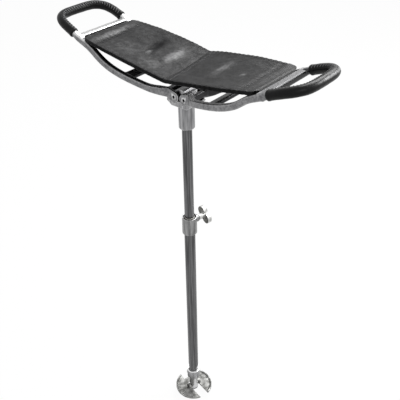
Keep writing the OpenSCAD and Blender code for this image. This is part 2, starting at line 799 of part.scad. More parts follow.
module foot_ferrule() {
    color("silver") difference() {
        rotate_extrude()
            polygon([[0, point_top + face_gap], [shank_r, point_top + face_gap],
                     [shank_r, ferrule_low_h - ferrule_step_h],
                     [ferrule_low_d / 2, ferrule_low_h],
                     [ferrule_d / 2 - face_gap, ferrule_top_h - ferrule_band_h],
                     [ferrule_d / 2, ferrule_top_h - ferrule_band_h],
                     [ferrule_d / 2, ferrule_top_h], [0, ferrule_top_h]]);
        translate([0, 0, lower_foot_h - face_gap])
            cylinder(r = lower_r + fit_gap, h = ferrule_top_h);
        translate([0, 0, -over])
            cylinder(r = tang_d / 2 + fit_gap, h = tang_top_h + face_gap + over);
        radial(rivet_azimuth, (ferrule_top_h + lower_foot_h) / 2)
            cylinder(r = rivet_d / 2 + fit_gap, h = ferrule_d + over, center = true);
        radial(clamp_azimuth, disc_pin_h)
            cylinder(r = disc_pin_d / 2 + fit_gap, h = shank_d + over, center = true);
    }
}

module ferrule_rivet() {
    color("dimgray") radial(rivet_azimuth, (ferrule_top_h + lower_foot_h) / 2)
        cylinder(d = rivet_d, h = (ferrule_d + ferrule_low_d) / 2, center = true);
}

module spike() {
    color("dimgray") difference() {
        rotate_extrude()
            polygon([[0, -point_depth], [point_tip_d / 2, -point_depth],
                     [point_d / 2, point_top - point_land_h], [point_d / 2, point_top],
                     [tang_d / 2, point_top], [tang_d / 2, tang_top_h], [0, tang_top_h]]);
        radial(clamp_azimuth, disc_pin_h)
            cylinder(r = disc_pin_d / 2 + fit_gap, h = shank_d, center = true);
    }
}

module ground_disc() {
    color("darkgray") rotate([0, 0, lower_twist]) difference() {
        union() {
            difference() {
                rotate_extrude()
                    polygon([[disc_hole_d / 2, 0], [disc_d / 2 - face_gap, 0],
                             [disc_d / 2, face_gap], [disc_d / 2, disc_rim_h],
                             [disc_d / 2 - disc_rim_w / 2, disc_rim_h],
                             [disc_d / 2 - disc_rim_w, disc_floor],
                             [disc_hole_d / 2, disc_floor]]);
                translate([0, -slot_w / 2, -over])
                    cube([disc_d, slot_w, disc_rim_h + 2 * over]);
                translate([-disc_d - back_cut_r, -back_cut_w / 2, -over])
                    cube([disc_d, back_cut_w, disc_rim_h + 2 * over]);
            }
            for (side = [-1, 1]) {
                middle = side * (disc_boss_y + disc_boss_t / 2);
                along_y(middle - disc_boss_t / 2, middle + disc_boss_t / 2) {
                    translate([0, disc_pin_h]) circle(r = disc_boss_r);
                    translate([-disc_boss_r, 0]) square([2 * disc_boss_r, disc_pin_h]);
                }
            }
        }
        translate([-disc_d / 2, -disc_d / 2, -disc_d])
            cube([disc_d, disc_d, disc_d]);
        translate([0, 0, disc_pin_h]) rotate([90, 0, 0])
            cylinder(r = disc_pin_d / 2 + run_gap, h = 2 * (disc_boss_face + over), center = true);
    }
}

module disc_pin() {
    color("dimgray") radial(clamp_azimuth, disc_pin_h)
        cylinder(d = disc_pin_d, h = 2 * disc_boss_face, center = true);
}

left_frame();
right_frame();
left_grip();
right_grip();
seat_left();
seat_right();
head_block();
left_hinge_pin();
right_hinge_pin();
socket_screw();
upper_tube();
tube_guide_plug();
lower_tube();
liner_bush();
clamp_collar();
collar_screw();
clamp_screw();
wing_knob();
knob_pin();
pressure_shoe();
foot_ferrule();
ferrule_rivet();
spike();
ground_disc();
disc_pin();
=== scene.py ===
"""Looks of a telescopic shooting stick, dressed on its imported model.

Lengths in the classes are in millimetres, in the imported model's frame: the origin
is on the shaft's axis at the ground disc's underside, X runs along the seat, Y from
the seat's front edge to its back edge, and Z is up.
"""
import logging
import math
from dataclasses import dataclass, field
from enum import Enum
from typing import Any, Callable, Sequence

import bpy
from mathutils import Matrix, Vector, noise


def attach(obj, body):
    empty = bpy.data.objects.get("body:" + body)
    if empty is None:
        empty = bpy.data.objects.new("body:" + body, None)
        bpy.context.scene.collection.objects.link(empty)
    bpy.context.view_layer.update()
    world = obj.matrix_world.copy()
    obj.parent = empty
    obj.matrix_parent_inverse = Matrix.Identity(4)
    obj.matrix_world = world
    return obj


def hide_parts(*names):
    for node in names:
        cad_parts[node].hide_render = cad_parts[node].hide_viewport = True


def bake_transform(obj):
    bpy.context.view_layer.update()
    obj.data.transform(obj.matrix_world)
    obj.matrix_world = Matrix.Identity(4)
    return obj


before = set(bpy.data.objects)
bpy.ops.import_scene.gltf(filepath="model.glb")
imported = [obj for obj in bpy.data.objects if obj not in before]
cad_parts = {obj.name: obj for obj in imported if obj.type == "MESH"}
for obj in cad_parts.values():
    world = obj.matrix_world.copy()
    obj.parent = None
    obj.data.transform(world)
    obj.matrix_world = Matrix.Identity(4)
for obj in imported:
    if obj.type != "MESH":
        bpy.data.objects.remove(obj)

LOG = logging.getLogger("shooting_stick")
MM = 0.001
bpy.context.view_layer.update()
Point = tuple[float, float]
# Cosine from which two edges count as one straight line
STRAIGHT = 0.999


class Side(Enum):
    """Left and right of the seat, as the sign of X."""

    LEFT = -1
    RIGHT = 1

    @property
    def word(self) -> str:
        """The side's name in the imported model's nodes."""
        return self.name.lower()


# Modelling tools


def clear_selection() -> None:
    """Leaves edit mode and deselects every object."""
    if bpy.context.mode != "OBJECT":
        bpy.ops.object.mode_set(mode="OBJECT")
    bpy.ops.object.select_all(action="DESELECT")


def pick(*objects: bpy.types.Object) -> bpy.types.Object:
    """Selects these objects alone and makes the first one active.

    Args:
        objects: The objects to select.

    Returns:
        The first of them.
    """
    clear_selection()
    for obj in objects:
        obj.select_set(True)
    bpy.context.view_layer.objects.active = objects[0]
    return objects[0]


def edit(obj: bpy.types.Object, *steps: Callable[[], Any]) -> bpy.types.Object:
    """Runs operators on the whole of a mesh in edit mode.

    Args:
        obj: The mesh object.
        steps: Calls of operators, run in their order.

    Returns:
        The same object.
    """
    pick(obj)
    bpy.ops.object.mode_set(mode="EDIT")
    bpy.ops.mesh.select_all(action="SELECT")
    for step in steps:
        step()
    bpy.ops.object.mode_set(mode="OBJECT")
    return obj


def sew(obj: bpy.types.Object, gap: float = 0.002) -> bpy.types.Object:
    """Merges doubled points, closes the ends and turns the faces outwards.

    Args:
        obj: The mesh object, a shell that is closed but for flat ends.
        gap: Distance under which points are merged.

    Returns:
        The same object.
    """
    return edit(
        obj,
        lambda: bpy.ops.mesh.remove_doubles(threshold=gap * MM),
        lambda: bpy.ops.mesh.fill_holes(sides=0),
        lambda: bpy.ops.mesh.normals_make_consistent(inside=False),
    )


def modify(obj: bpy.types.Object, kind: str, **settings: Any) -> bpy.types.Object:
    """Adds a modifier, sets it and applies it.

    Args:
        obj: The mesh object.
        kind: The modifier's type.
        settings: Its properties.

    Returns:
        The same object.
    """
    made = obj.modifiers.new(kind.lower(), kind)
    for key, value in settings.items():
        setattr(made, key, value)
    pick(obj)
    bpy.ops.object.modifier_apply(modifier=made.name)
    return obj


def named(obj: bpy.types.Object, name: str) -> bpy.types.Object:
    """Names an object and its mesh."""
    obj.name = name
    obj.data.name = name
    return obj


def skin(name: str, rings: Sequence[Sequence[Vector]]) -> bpy.types.Object:
    """Lays a grid's rows on rings of points and sews it into a closed shell.

    Args:
        name: Name of the piece.
        rings: Rings of points, in millimetres, all of one length.

    Returns:
        The closed mesh object.
    """
    clear_selection()
    around = len(rings[0])
    bpy.ops.mesh.primitive_grid_add(x_subdivisions=around, y_subdivisions=len(rings) - 1)
    obj = named(bpy.context.active_object, name)
    flat = [ring[i % around] * MM for ring in rings for i in range(around + 1)]
    obj.data.vertices.foreach_set("co", [c for point in flat for c in point])
    return sew(obj)


def rounded(points: Sequence[tuple[float, float, float]], steps: int = 4) -> list[Point]:
    """Rounds the corners of an open outline.

    Args:
        points: Corners as two coordinates and the radius of the round there.
        steps: Steps of each round.

    Returns:
        The outline's points.
    """
    out: list[Point] = [points[0][:2]]
    for before, corner, after in zip(points, points[1:], points[2:]):
        here = Vector(corner[:2])
        to_before = (Vector(before[:2]) - here).normalized()
        to_after = (Vector(after[:2]) - here).normalized()
        if corner[2] <= 0 or abs(to_before.dot(to_after)) > STRAIGHT:
            out.append(tuple(here))
            continue
        half = to_before.angle(to_after) / 2
        back = corner[2] / math.tan(half)
        start, end = here + to_before * back, here + to_after * back
        for i in range(steps + 1):
            t = i / steps
            out.append(tuple((1 - t) ** 2 * start + 2 * t * (1 - t) * here + t ** 2 * end))
    out.append(points[-1][:2])
    return out


def turned(name: str, profile: Sequence[Point], steps: int = 72,
           place: Matrix = Matrix.Identity(4)) -> bpy.types.Object:
    """Spins a profile about Z, as on a lathe.

    Args:
        name: Name of the piece.
        profile: Points of radius and height, in millimetres.
        steps: Steps of the turn.
        place: Where the piece then goes, in millimetres.

    Returns:
        The closed mesh object.
    """
    mesh = bpy.data.meshes.new(name)
    mesh.from_pydata([(r * MM, 0, z * MM) for r, z in profile],
                     [(i, i + 1) for i in range(len(profile) - 1)], [])
    obj = bpy.data.objects.new(name, mesh)
    bpy.context.scene.collection.objects.link(obj)
    edit(obj, lambda: bpy.ops.mesh.spin(steps=steps, angle=math.tau, center=(0, 0, 0),
                                        axis=(0, 0, 1)))
    sew(obj)
    obj.data.transform(in_metres(place))
    return obj


def in_metres(place: Matrix) -> Matrix:
    """A placement with its shift turned from millimetres to metres."""
    out = place.copy()
    out.translation = place.translation * MM
    return out


def along_axis(azimuth: float, height: float) -> Matrix:
    """Turns Z so that it points out of the shaft, at an azimuth in degrees."""
    return (Matrix.Translation((0, 0, height)) @ Matrix.Rotation(math.radians(azimuth), 4, "Z")
            @ Matrix.Rotation(math.radians(90), 4, "Y"))


def rod(radius: float, start: Vector, end: Vector, sides: int = 32) -> bpy.types.Object:
    """A plain round bar between two points, to be joined or cut.

    Args:
        radius: Its radius.
        start: One end's centre.
        end: The other end's centre.
        sides: Its number of sides.

    Returns:
        The mesh object.
    """
    clear_selection()
    along = end - start
    turn = along.to_track_quat("Z", "Y").to_matrix().to_4x4()
    bpy.ops.mesh.primitive_cylinder_add(vertices=sides, radius=radius * MM,
                                        depth=along.length * MM)
    obj = bpy.context.active_object
    obj.data.transform(Matrix.Translation((start + end) / 2 * MM) @ turn)
    return obj


def block(size: Vector, place: Matrix, edge: float) -> bpy.types.Object:
    """A box with rounded edges, to be joined.

    Args:
        size: Its three sides.
        place: Its place, in millimetres.
        edge: Radius of its edges.

    Returns:
        The mesh object.
    """
    clear_selection()
    bpy.ops.mesh.primitive_cube_add(size=MM)
    obj = bpy.context.active_object
    obj.data.transform(Matrix.Diagonal((*size, 1)))
    if edge > 0:
        edit(obj, lambda: bpy.ops.mesh.bevel(offset=edge * MM, segments=3, affect="EDGES"))
    obj.data.transform(in_metres(place))
    return obj


def joined(name: str, *parts: bpy.types.Object) -> bpy.types.Object:
    """Joins mesh objects into the first and names it."""
    pick(*parts)
    bpy.ops.object.join()
    return named(parts[0], name)


def hull(*parts: bpy.types.Object) -> bpy.types.Object:
    """The tight skin round several mesh objects."""
    return edit(joined("hull", *parts), lambda: bpy.ops.mesh.convex_hull())


def cast(obj: bpy.types.Object, grain: float, rounds: int, keep: float = 1.0) -> bpy.types.Object:
    """Melts joined shapes into one casting with soft edges and filleted roots.

    Args:
        obj: The mesh object, of closed shells that cross.
        grain: Size of the new mesh's faces.
        rounds: How often it is smoothed.
        keep: Share of the faces that is kept.

    Returns:
        The same object.
    """
    modify(obj, "REMESH", mode="VOXEL", voxel_size=grain * MM)
    modify(obj, "SMOOTH", factor=0.5, iterations=rounds)
    if keep < 1:
        modify(obj, "DECIMATE", ratio=keep)
    return obj


def drilled(obj: bpy.types.Object, radius: float, start: Vector,
            end: Vector) -> bpy.types.Object:
    """Drills a round hole through a casting.

    Args:
        obj: The casting.
        radius: The hole's radius.
        start: One end of the drill's way.
        end: Its other end.

    Returns:
        The same object.
    """
    drill = rod(radius, start, end, 48)
    modify(obj, "BOOLEAN", operation="DIFFERENCE", object=drill)
    bpy.data.objects.remove(drill)
    return obj


def mark(obj: bpy.types.Object, name: str, shares: Sequence[float]) -> None:
    """Stores a value for each point of a mesh, for its finish to use.

    Args:
        obj: The piece.
        name: The value's name.
        shares: The values.
    """
    marks = obj.data.attributes.new(name, "FLOAT", "POINT")
    marks.data.foreach_set("value", shares)


def copy_of_node(node: str, name: str) -> bpy.types.Object:
    """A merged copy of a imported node's solid, free to be shaped.

    Args:
        node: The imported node.
        name: Name of the copy.

    Returns:
        The new mesh object.
    """
    obj = bpy.data.objects.new(name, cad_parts[node].data.copy())
    obj.data.name = name
    obj.data.materials.clear()
    bpy.context.scene.collection.objects.link(obj)
    return edit(obj, lambda: bpy.ops.mesh.remove_doubles(threshold=0.001 * MM))


def repeated(name: str, seed: bpy.types.Object, places: Sequence[Matrix]) -> bpy.types.Object:
    """One mesh of a small shape repeated at many places.

    Args:
        name: Name of the piece.
        seed: The shape, modelled at the origin in metres; it is used up.
        places: Where the copies go, in millimetres.

    Returns:
        The mesh object.
    """
    corners = [v.co.copy() for v in seed.data.vertices]
    faces = [tuple(p.vertices) for p in seed.data.polygons]
    points: list[Vector] = []
    loops: list[tuple[int, ...]] = []
    for place in places:
        first, spot = len(points), in_metres(place)
        points += [spot @ c for c in corners]
        loops += [tuple(first + i for i in f) for f in faces]
    mesh = bpy.data.meshes.new(name)
    mesh.from_pydata(points, [], loops)
    obj = bpy.data.objects.new(name, mesh)
    bpy.context.scene.collection.objects.link(obj)
    bpy.data.objects.remove(seed)
    return obj


def thread_bead(length: float, thick: float) -> bpy.types.Object:
    """One stitch, a small bead that lies along X.

    Args:
        length: Its length.
        thick: Its thickness.

    Returns:
        The mesh object at the origin.
    """
    clear_selection()
    bpy.ops.mesh.primitive_uv_sphere_add(segments=8, ring_count=6, radius=0.5 * MM)
    obj = bpy.context.active_object
    obj.data.transform(Matrix.Rotation(math.radians(90), 4, "Y"))
    for v in obj.data.vertices:
        reach = abs(v.co.x) / (0.5 * MM)
        v.co.x = math.copysign(reach ** 0.7, v.co.x) * length / 2 * MM
        v.co.y *= thick
        v.co.z *= thick
    return obj


def dress(obj: bpy.types.Object, body: str, slot: str, finish: "Finish",
          replaces: Sequence[str] = (), angle: float = 40.0) -> bpy.types.Object:
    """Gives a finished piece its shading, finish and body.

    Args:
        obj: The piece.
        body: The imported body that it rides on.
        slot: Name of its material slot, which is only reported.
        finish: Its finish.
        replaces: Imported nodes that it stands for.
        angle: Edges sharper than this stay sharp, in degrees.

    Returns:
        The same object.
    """
    pick(obj)
    bpy.ops.object.shade_smooth_by_angle(angle=math.radians(angle))
    obj.data.materials.clear()
    obj.data.materials.append(finish.material())
    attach(obj, body)
    note(obj, slot, replaces)
    return obj


def note(obj: bpy.types.Object, slot: str, replaces: Sequence[str]) -> None:
    """Hides the imported nodes that a piece stands for, and reports the piece with its slot."""
    if replaces:
        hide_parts(*replaces)
    LOG.info("%s: %d faces, finish %s", obj.name, len(obj.data.polygons), slot)


# Finishes


def linear(code: str) -> tuple[float, float, float, float]:
    """Turns an sRGB hex colour into Blender's linear one."""
    parts = [int(code[i:i + 2], 16) / 255 for i in (1, 3, 5)]
    return (*(c / 12.92 if c <= 0.04045 else ((c + 0.055) / 1.055) ** 2.4 for c in parts), 1.0)


def per_metre(size: float) -> float:
    """A pattern's scale from the size of its features in millimetres."""
    return 1 / (size * MM)


def add(tree: bpy.types.NodeTree, kind: str, inputs: dict[Any, Any] | None = None,
        **settings: Any) -> bpy.types.Node:
    """Adds a node, sets its properties and sets or links its inputs.

    Args:
        tree: The node tree.
        kind: The node's type, without its common first part.
        inputs: Values or output sockets, by input name or number.
        settings: The node's properties.

    Returns:
        The new node.
    """
    made = tree.nodes.new("ShaderNode" + kind)
    for key, value in settings.items():
        setattr(made, key, value)
    for key, value in (inputs or {}).items():
        if isinstance(value, bpy.types.NodeSocket):
            tree.links.new(value, made.inputs[key])
        else:
            made.inputs[key].default_value = value
    return made


def ramp(tree: bpy.types.NodeTree, source: bpy.types.NodeSocket,
         stops: Sequence[tuple[float, str | float]]) -> bpy.types.NodeSocket:
    """Maps a value to colours or greys.

    Args:
        tree: The node tree.
        source: The value.
        stops: Places, each with a hex colour or a grey from 0 to 1.

    Returns:
        The colour output.
    """
    made = add(tree, "ValToRGB", {"Fac": source})
    marks = made.color_ramp.elements
    while len(marks) < len(stops):
        marks.new(0.5)
    for mark, (place, tone) in zip(marks, stops):
        mark.position = place
        mark.color = linear(tone) if isinstance(tone, str) else (tone, tone, tone, 1)
    return made.outputs["Color"]


def grain(tree: bpy.types.NodeTree, size: float, detail: float = 3.0,
          stretch: Sequence[float] = (1, 1, 1), turn: Sequence[float] = (0, 0, 0),
          source: str = "Object") -> bpy.types.NodeSocket:
    """Noise of a real size, stretched where the surface was drawn or brushed.

    Args:
        tree: The node tree.
        size: Size of the features in millimetres.
        detail: Finer layers on it.
        stretch: How many times longer the features are along each axis.
        turn: Turn of those axes, in degrees.
        source: The texture coordinate that it follows.

    Returns:
        The noise's value.
    """
    where = add(tree, "TexCoord").outputs[source]
    spun = add(tree, "Mapping", {"Vector": where, "Rotation": [math.radians(t) for t in turn]})
    sized = add(tree, "Mapping", {"Vector": spun.outputs[0],
                                  "Scale": [per_metre(size * s) for s in stretch]})
    return add(tree, "TexNoise", {"Vector": sized.outputs[0], "Scale": 1.0, "Detail": detail,
                                  "Roughness": 0.55}).outputs["Fac"]


@dataclass(frozen=True)
class Finish:
    """A finish, built once as a Principled material."""

    name: str
    dark: str
    light: str
    rough_low: float
    rough_high: float
    metallic: float = 0.0
    specular: float = 0.5

    def material(self) -> bpy.types.Material:
        """The finish's material, made on its first use."""
        found = bpy.data.materials.get(self.name)
        if found:
            return found
        made = bpy.data.materials.new(self.name)
        made.use_nodes = True
        tree = made.node_tree
        tree.nodes.clear()
        shader = add(tree, "BsdfPrincipled", {"Metallic": self.metallic,
                                              "Specular IOR Level": self.specular})
        out = add(tree, "OutputMaterial")
        tree.links.new(shader.outputs[0], out.inputs["Surface"])
        self.pattern(tree, shader)
        return made

    def pattern(self, tree: bpy.types.NodeTree, shader: bpy.types.Node) -> None:
        """Adds the surface's own pattern; each kind of finish has its own."""
        raise NotImplementedError

    def paint(self, tree: bpy.types.NodeTree, shader: bpy.types.Node,
              colour: bpy.types.NodeSocket, rough: bpy.types.NodeSocket,
              height: bpy.types.NodeSocket, depth: float) -> None:
        """Joins a pattern's colour, roughness and relief to the shader.

        Args:
            tree: The node tree.
            shader: The Principled shader.
            colour: The colour.
            rough: A value from 0 to 1 between the two roughnesses.
            height: The relief, from 0 to 1.
            depth: The relief's real depth in millimetres.
        """
        spread = add(tree, "MapRange", {"Value": rough, "To Min": self.rough_low,
                                        "To Max": self.rough_high})
        relief = add(tree, "Bump", {"Height": height, "Distance": depth * MM, "Strength": 1.0})
        tree.links.new(colour, shader.inputs["Base Color"])
        tree.links.new(spread.outputs[0], shader.inputs["Roughness"])
        tree.links.new(relief.outputs[0], shader.inputs["Normal"])


def blend_colour(tree: bpy.types.NodeTree, share: Any, one: Any, two: Any,
                 mode: str = "MIX") -> bpy.types.NodeSocket:
    """Mixes two colours by a share and returns the result's socket."""
    made = add(tree, "Mix", {0: share, 6: one, 7: two}, data_type="RGBA", blend_type=mode)
    return made.outputs[2]


@dataclass(frozen=True)
class CastAluminium(Finish):
    """Sand-cast aluminium: cloudy greys, sandy skin, painted shade in hollows and on marked faces, edges lightened as
    scuffing and painted highlight, and painted highlights on marked faces.
    """

    # Colour of scuffed edges and of painted highlights.
    worn: str = "#dcdcdc"
    # Colour of the painted shade.
    painted_shade: str = "#2c2c2d"
    sand: float = 0.9
    cloud: float = 9.0
    streak: float = 3.5
    streak_length: float = 1.0
    hollow: float = 30.0
    metallic: float = 1.0

    def pattern(self, tree: bpy.types.NodeTree, shader: bpy.types.Node) -> None:
        """Clouds or lengthwise streaks, sand grain, painted shade in hollows and on marked faces, lighter edges and
        painted highlights on marked faces.
        """
        cloud = grain(tree, self.cloud, 4, stretch=(1, 1, self.streak_length / 2 + 0.5))
        streak = grain(tree, self.streak, 2, stretch=(1, 1, self.streak_length))
        sand = grain(tree, self.sand, 2)
        both = add(tree, "Math", {0: cloud, 1: streak}, operation="ADD").outputs[0]
        half = add(tree, "Math", {0: both, 1: 0.5}, operation="MULTIPLY").outputs[0]
        tone = ramp(tree, half, [(0.38, self.dark), (0.62, self.light)])
        # Painted shade: faces in hollows, found by occlusion, and faces marked for shade are darkened.
        closed = add(tree, "AmbientOcclusion", {"Distance": self.hollow * MM}, samples=8)
        dull = ramp(tree, closed.outputs["AO"], [(0.3, 1.0), (0.78, 0.0)])
        shade_marks = add(tree, "Attribute", attribute_name="painted_shade").outputs["Fac"]
        dull = add(tree, "Math", {0: dull, 1: shade_marks}, operation="MAXIMUM").outputs[0]
        tone = blend_colour(tree, dull, tone, linear(self.painted_shade))
        # Painted highlight: marked faces are lightened, and sharp edges too, partly as scuffing; not where shade is
        # painted.
        highlight_and_wear = add(tree, "Attribute", attribute_name="polish").outputs["Fac"]
        edge = ramp(tree, add(tree, "NewGeometry").outputs["Pointiness"],
                    [(0.51, 0.0), (0.56, 1.0)])
        edge = add(tree, "Math", {0: edge, 1: highlight_and_wear}, operation="MAXIMUM").outputs[0]
        unshaded = add(tree, "Math", {0: 1.0, 1: shade_marks}, operation="SUBTRACT").outputs[0]
        edge = add(tree, "Math", {0: edge, 1: unshaded}, operation="MULTIPLY").outputs[0]
        tone = blend_colour(tree, edge, tone, linear(self.worn))
        self.paint(tree, shader, tone, cloud, sand, 0.05)


@dataclass(frozen=True)
class MottledAluminium(Finish):
    """Tumbled aluminium casting: bright high spots over dull dark pits."""

    metallic: float = 1.0
    spot: float = 3.2
    pits: float = 0.06

    def pattern(self, tree: bpy.types.NodeTree, shader: bpy.types.Node) -> None:
        """Blotches of bright and dull metal with shallow pits."""
        blotch = grain(tree, self.spot, 3)
        pit = grain(tree, self.spot / 3, 2)
        tone = ramp(tree, blotch, [(0.38, self.dark), (0.62, self.light)])
        edge = ramp(tree, add(tree, "NewGeometry").outputs["Pointiness"],
                    [(0.53, 0.0), (0.6, 1.0)])
        tone = blend_colour(tree, edge, tone, linear(self.light))
        self.paint(tree, shader, tone, pit, pit, self.pits)


@dataclass(frozen=True)
class DrawnTube(Finish):
    """Drawn aluminium tube, dulled with use: long streaks and fine lengthwise scratches."""

    metallic: float = 1.0
    streak: float = 2.6

    def pattern(self, tree: bpy.types.NodeTree, shader: bpy.types.Node) -> None:
        """Streaks and scratches along Z."""
        broad = grain(tree, self.streak, 2, stretch=(1, 1, 60))
        fine = grain(tree, self.streak / 4, 2, stretch=(1, 1, 90))
        both = add(tree, "Math", {0: broad, 1: fine}, operation="MULTIPLY").outputs[0]
        tone = ramp(tree, both, [(0.14, self.dark), (0.36, self.light)])
        self.paint(tree, shader, tone, fine, fine, 0.02)


@dataclass(frozen=True)
class MachinedSteel(Finish):
    """Turned steel: fine tool marks and a thin, uneven tarnish."""

    metallic: float = 1.0

    def pattern(self, tree: bpy.types.NodeTree, shader: bpy.types.Node) -> None:
        """Tool marks and tarnish."""
        tarnish = grain(tree, 4.0, 4)
        marks = grain(tree, 0.5, 1)
        tone = ramp(tree, tarnish, [(0.35, self.dark), (0.65, self.light)])
        self.paint(tree, shader, tone, tarnish, marks, 0.02)


@dataclass(frozen=True)
class Hide(Finish):
    """Black leather: pebbled grain, a cloudy soft sheen, and marked places made lighter and shinier, as scuffed high
    spots and as painted highlights.
    """

    # Colour of scuffed places and of painted highlights.
    highlight_and_wear: str = "#5a5a5b"
    pebble: float = 1.6
    relief: float = 0.22
    cloud: float = 9.0
    unmarked: float = 0.25
    worn_at: float = 0.225

    def pattern(self, tree: bpy.types.NodeTree, shader: bpy.types.Node) -> None:
        """Pebbles with fine creases between them, clouds of scuffing, and marked places made lighter and shinier:
        scuffs and painted highlights.
        """
        where = add(tree, "TexCoord").outputs["Object"]
        cells = add(tree, "TexVoronoi", {"Vector": where, "Scale": per_metre(self.pebble)},
                    feature="SMOOTH_F1").outputs["Distance"]
        fine = grain(tree, self.pebble / 2.5, 2)
        cloud = grain(tree, self.cloud, 5)
        domes = add(tree, "Math", {0: 1.0, 1: cells}, operation="SUBTRACT").outputs[0]
        height = add(tree, "Math", {0: domes, 1: fine}, operation="MULTIPLY").outputs[0]
        height = add(tree, "Math", {0: cloud, 1: 2.0, 2: height},
                     operation="MULTIPLY_ADD").outputs[0]
        tone = ramp(tree, cloud, [(0.36, self.dark), (0.64, self.light)])
        # The mark holds scuffing and painted light: scuffs and painted highlights where it is above zero, painted
        # shade (less sheen) where it is below.
        wear = add(tree, "Attribute", attribute_name="wear").outputs["Fac"]
        patchy = add(tree, "Math", {0: wear, 1: cloud}, operation="MULTIPLY").outputs[0]
        share = ramp(tree, patchy, [(0.28, 0.0), (0.6, 1.0)])
        tone = blend_colour(tree, share, tone, linear(self.highlight_and_wear))
        sheen = add(tree, "MapRange", {"Value": patchy, "From Max": self.worn_at,
                                       "To Min": self.specular * self.unmarked,
                                       "To Max": self.specular}, clamp=False)
        tree.links.new(sheen.outputs[0], shader.inputs["Specular IOR Level"])
        self.paint(tree, shader, tone, cloud, height, self.relief)


@dataclass(frozen=True)
class MouldedNylon(Finish):
    """Moulded nylon: even, off-white and matt, with a faint flow mark."""

    def pattern(self, tree: bpy.types.NodeTree, shader: bpy.types.Node) -> None:
        """Faint flow marks."""
        flow = grain(tree, 6.0, 3)
        fine = grain(tree, 0.6, 1)
        tone = ramp(tree, flow, [(0.3, self.dark), (0.7, self.light)])
        self.paint(tree, shader, tone, flow, fine, 0.02)


@dataclass(frozen=True)
class WaxedThread(Finish):
    """Waxed linen thread: dark, faintly shiny, with its twist."""

    def pattern(self, tree: bpy.types.NodeTree, shader: bpy.types.Node) -> None:
        """Twisted strands."""
        strand = grain(tree, 0.35, 1)
        tone = ramp(tree, strand, [(0.35, self.dark), (0.65, self.light)])
        self.paint(tree, shader, tone, strand, strand, 0.06)


CASTING = CastAluminium("sand_cast_aluminium", "#646466", "#8e8e8f", 0.3, 0.46)
TURNED_CASTING = CastAluminium("turned_cast_aluminium", "#6a6a6c", "#b2b2b3", 0.26, 0.4,
                               worn="#ececec", cloud=7.0, streak=6.0, streak_length=16.0,
                               hollow=6.0)
COLLAR_CASTING = CastAluminium("collar_cast_aluminium", "#626262", "#a2a2a2", 0.28, 0.42,
                               worn="#d4d4d4", cloud=8.0, streak=5.0, streak_length=8.0,
                               hollow=6.0)
DISC_CASTING = MottledAluminium("disc_cast_aluminium", "#585856", "#9a9a98", 0.34, 0.5,
                                spot=13.0, pits=0.03)
BRIGHT_CASTING = MottledAluminium("tumbled_cast_aluminium", "#b0b0ae", "#e6e6e4", 0.24, 0.42,
                                  spot=8.0)
# A darker copy of the knob's finish, for painted shade on its wings' flat faces.
SHADED_CASTING = MottledAluminium("shaded_cast_aluminium", "#50504c", "#7c7c78", 0.4, 0.6, spot=3.0)
TUBE = DrawnTube("drawn_aluminium", "#3f3f40", "#787879", 0.3, 0.46)
STEEL = MachinedSteel("machined_steel", "#5c5c5d", "#8a8a8b", 0.28, 0.42)
PIN_STEEL = MachinedSteel("rolled_steel_pin", "#404041", "#626263", 0.34, 0.48)
DARK_STEEL = MachinedSteel("oiled_steel_and_dimple_shade", "#232324", "#3c3c3d", 0.35, 0.5)
SEAT_HIDE = Hide("pebbled_hide", "#0c0c0d", "#1b1b1c", 0.34, 0.56, specular=0.19,
                 highlight_and_wear="#505051")
GRIP_HIDE = Hide("smooth_hide", "#040405", "#0c0c0d", 0.3, 0.42, specular=0.2,
                 highlight_and_wear="#868687", pebble=1.1, relief=0.08, cloud=3.0, unmarked=0.75)
NYLON = MouldedNylon("moulded_nylon", "#d2cfc8", "#e6e3dc", 0.45, 0.6)
THREAD = WaxedThread("waxed_thread", "#2c2c2d", "#565657", 0.4, 0.55, specular=0.3)
LACE = WaxedThread("hide_lace", "#38383a", "#707071", 0.35, 0.5, specular=0.3)


# Frames


def along_curve(values: Sequence[float], u: float) -> float:
    """A point on the smooth curve through evenly counted values.

    Args:
        values: The values.
        u: The place, counted along them.

    Returns:
        The value there.
    """
    i = min(int(u), len(values) - 2)
    t = u - i

    def slope(k: int) -> float:
        """The curve's slope at a value."""
        if k == 0:
            return values[1] - values[0]
        if k == len(values) - 1:
            return values[k] - values[k - 1]
        return (values[k + 1] - values[k - 1]) / 2

    return (values[i] * (2 * t ** 3 - 3 * t ** 2 + 1) + slope(i) * (t ** 3 - 2 * t ** 2 + t)
            + values[i + 1] * (3 * t ** 2 - 2 * t ** 3) + slope(i + 1) * (t ** 3 - t ** 2))


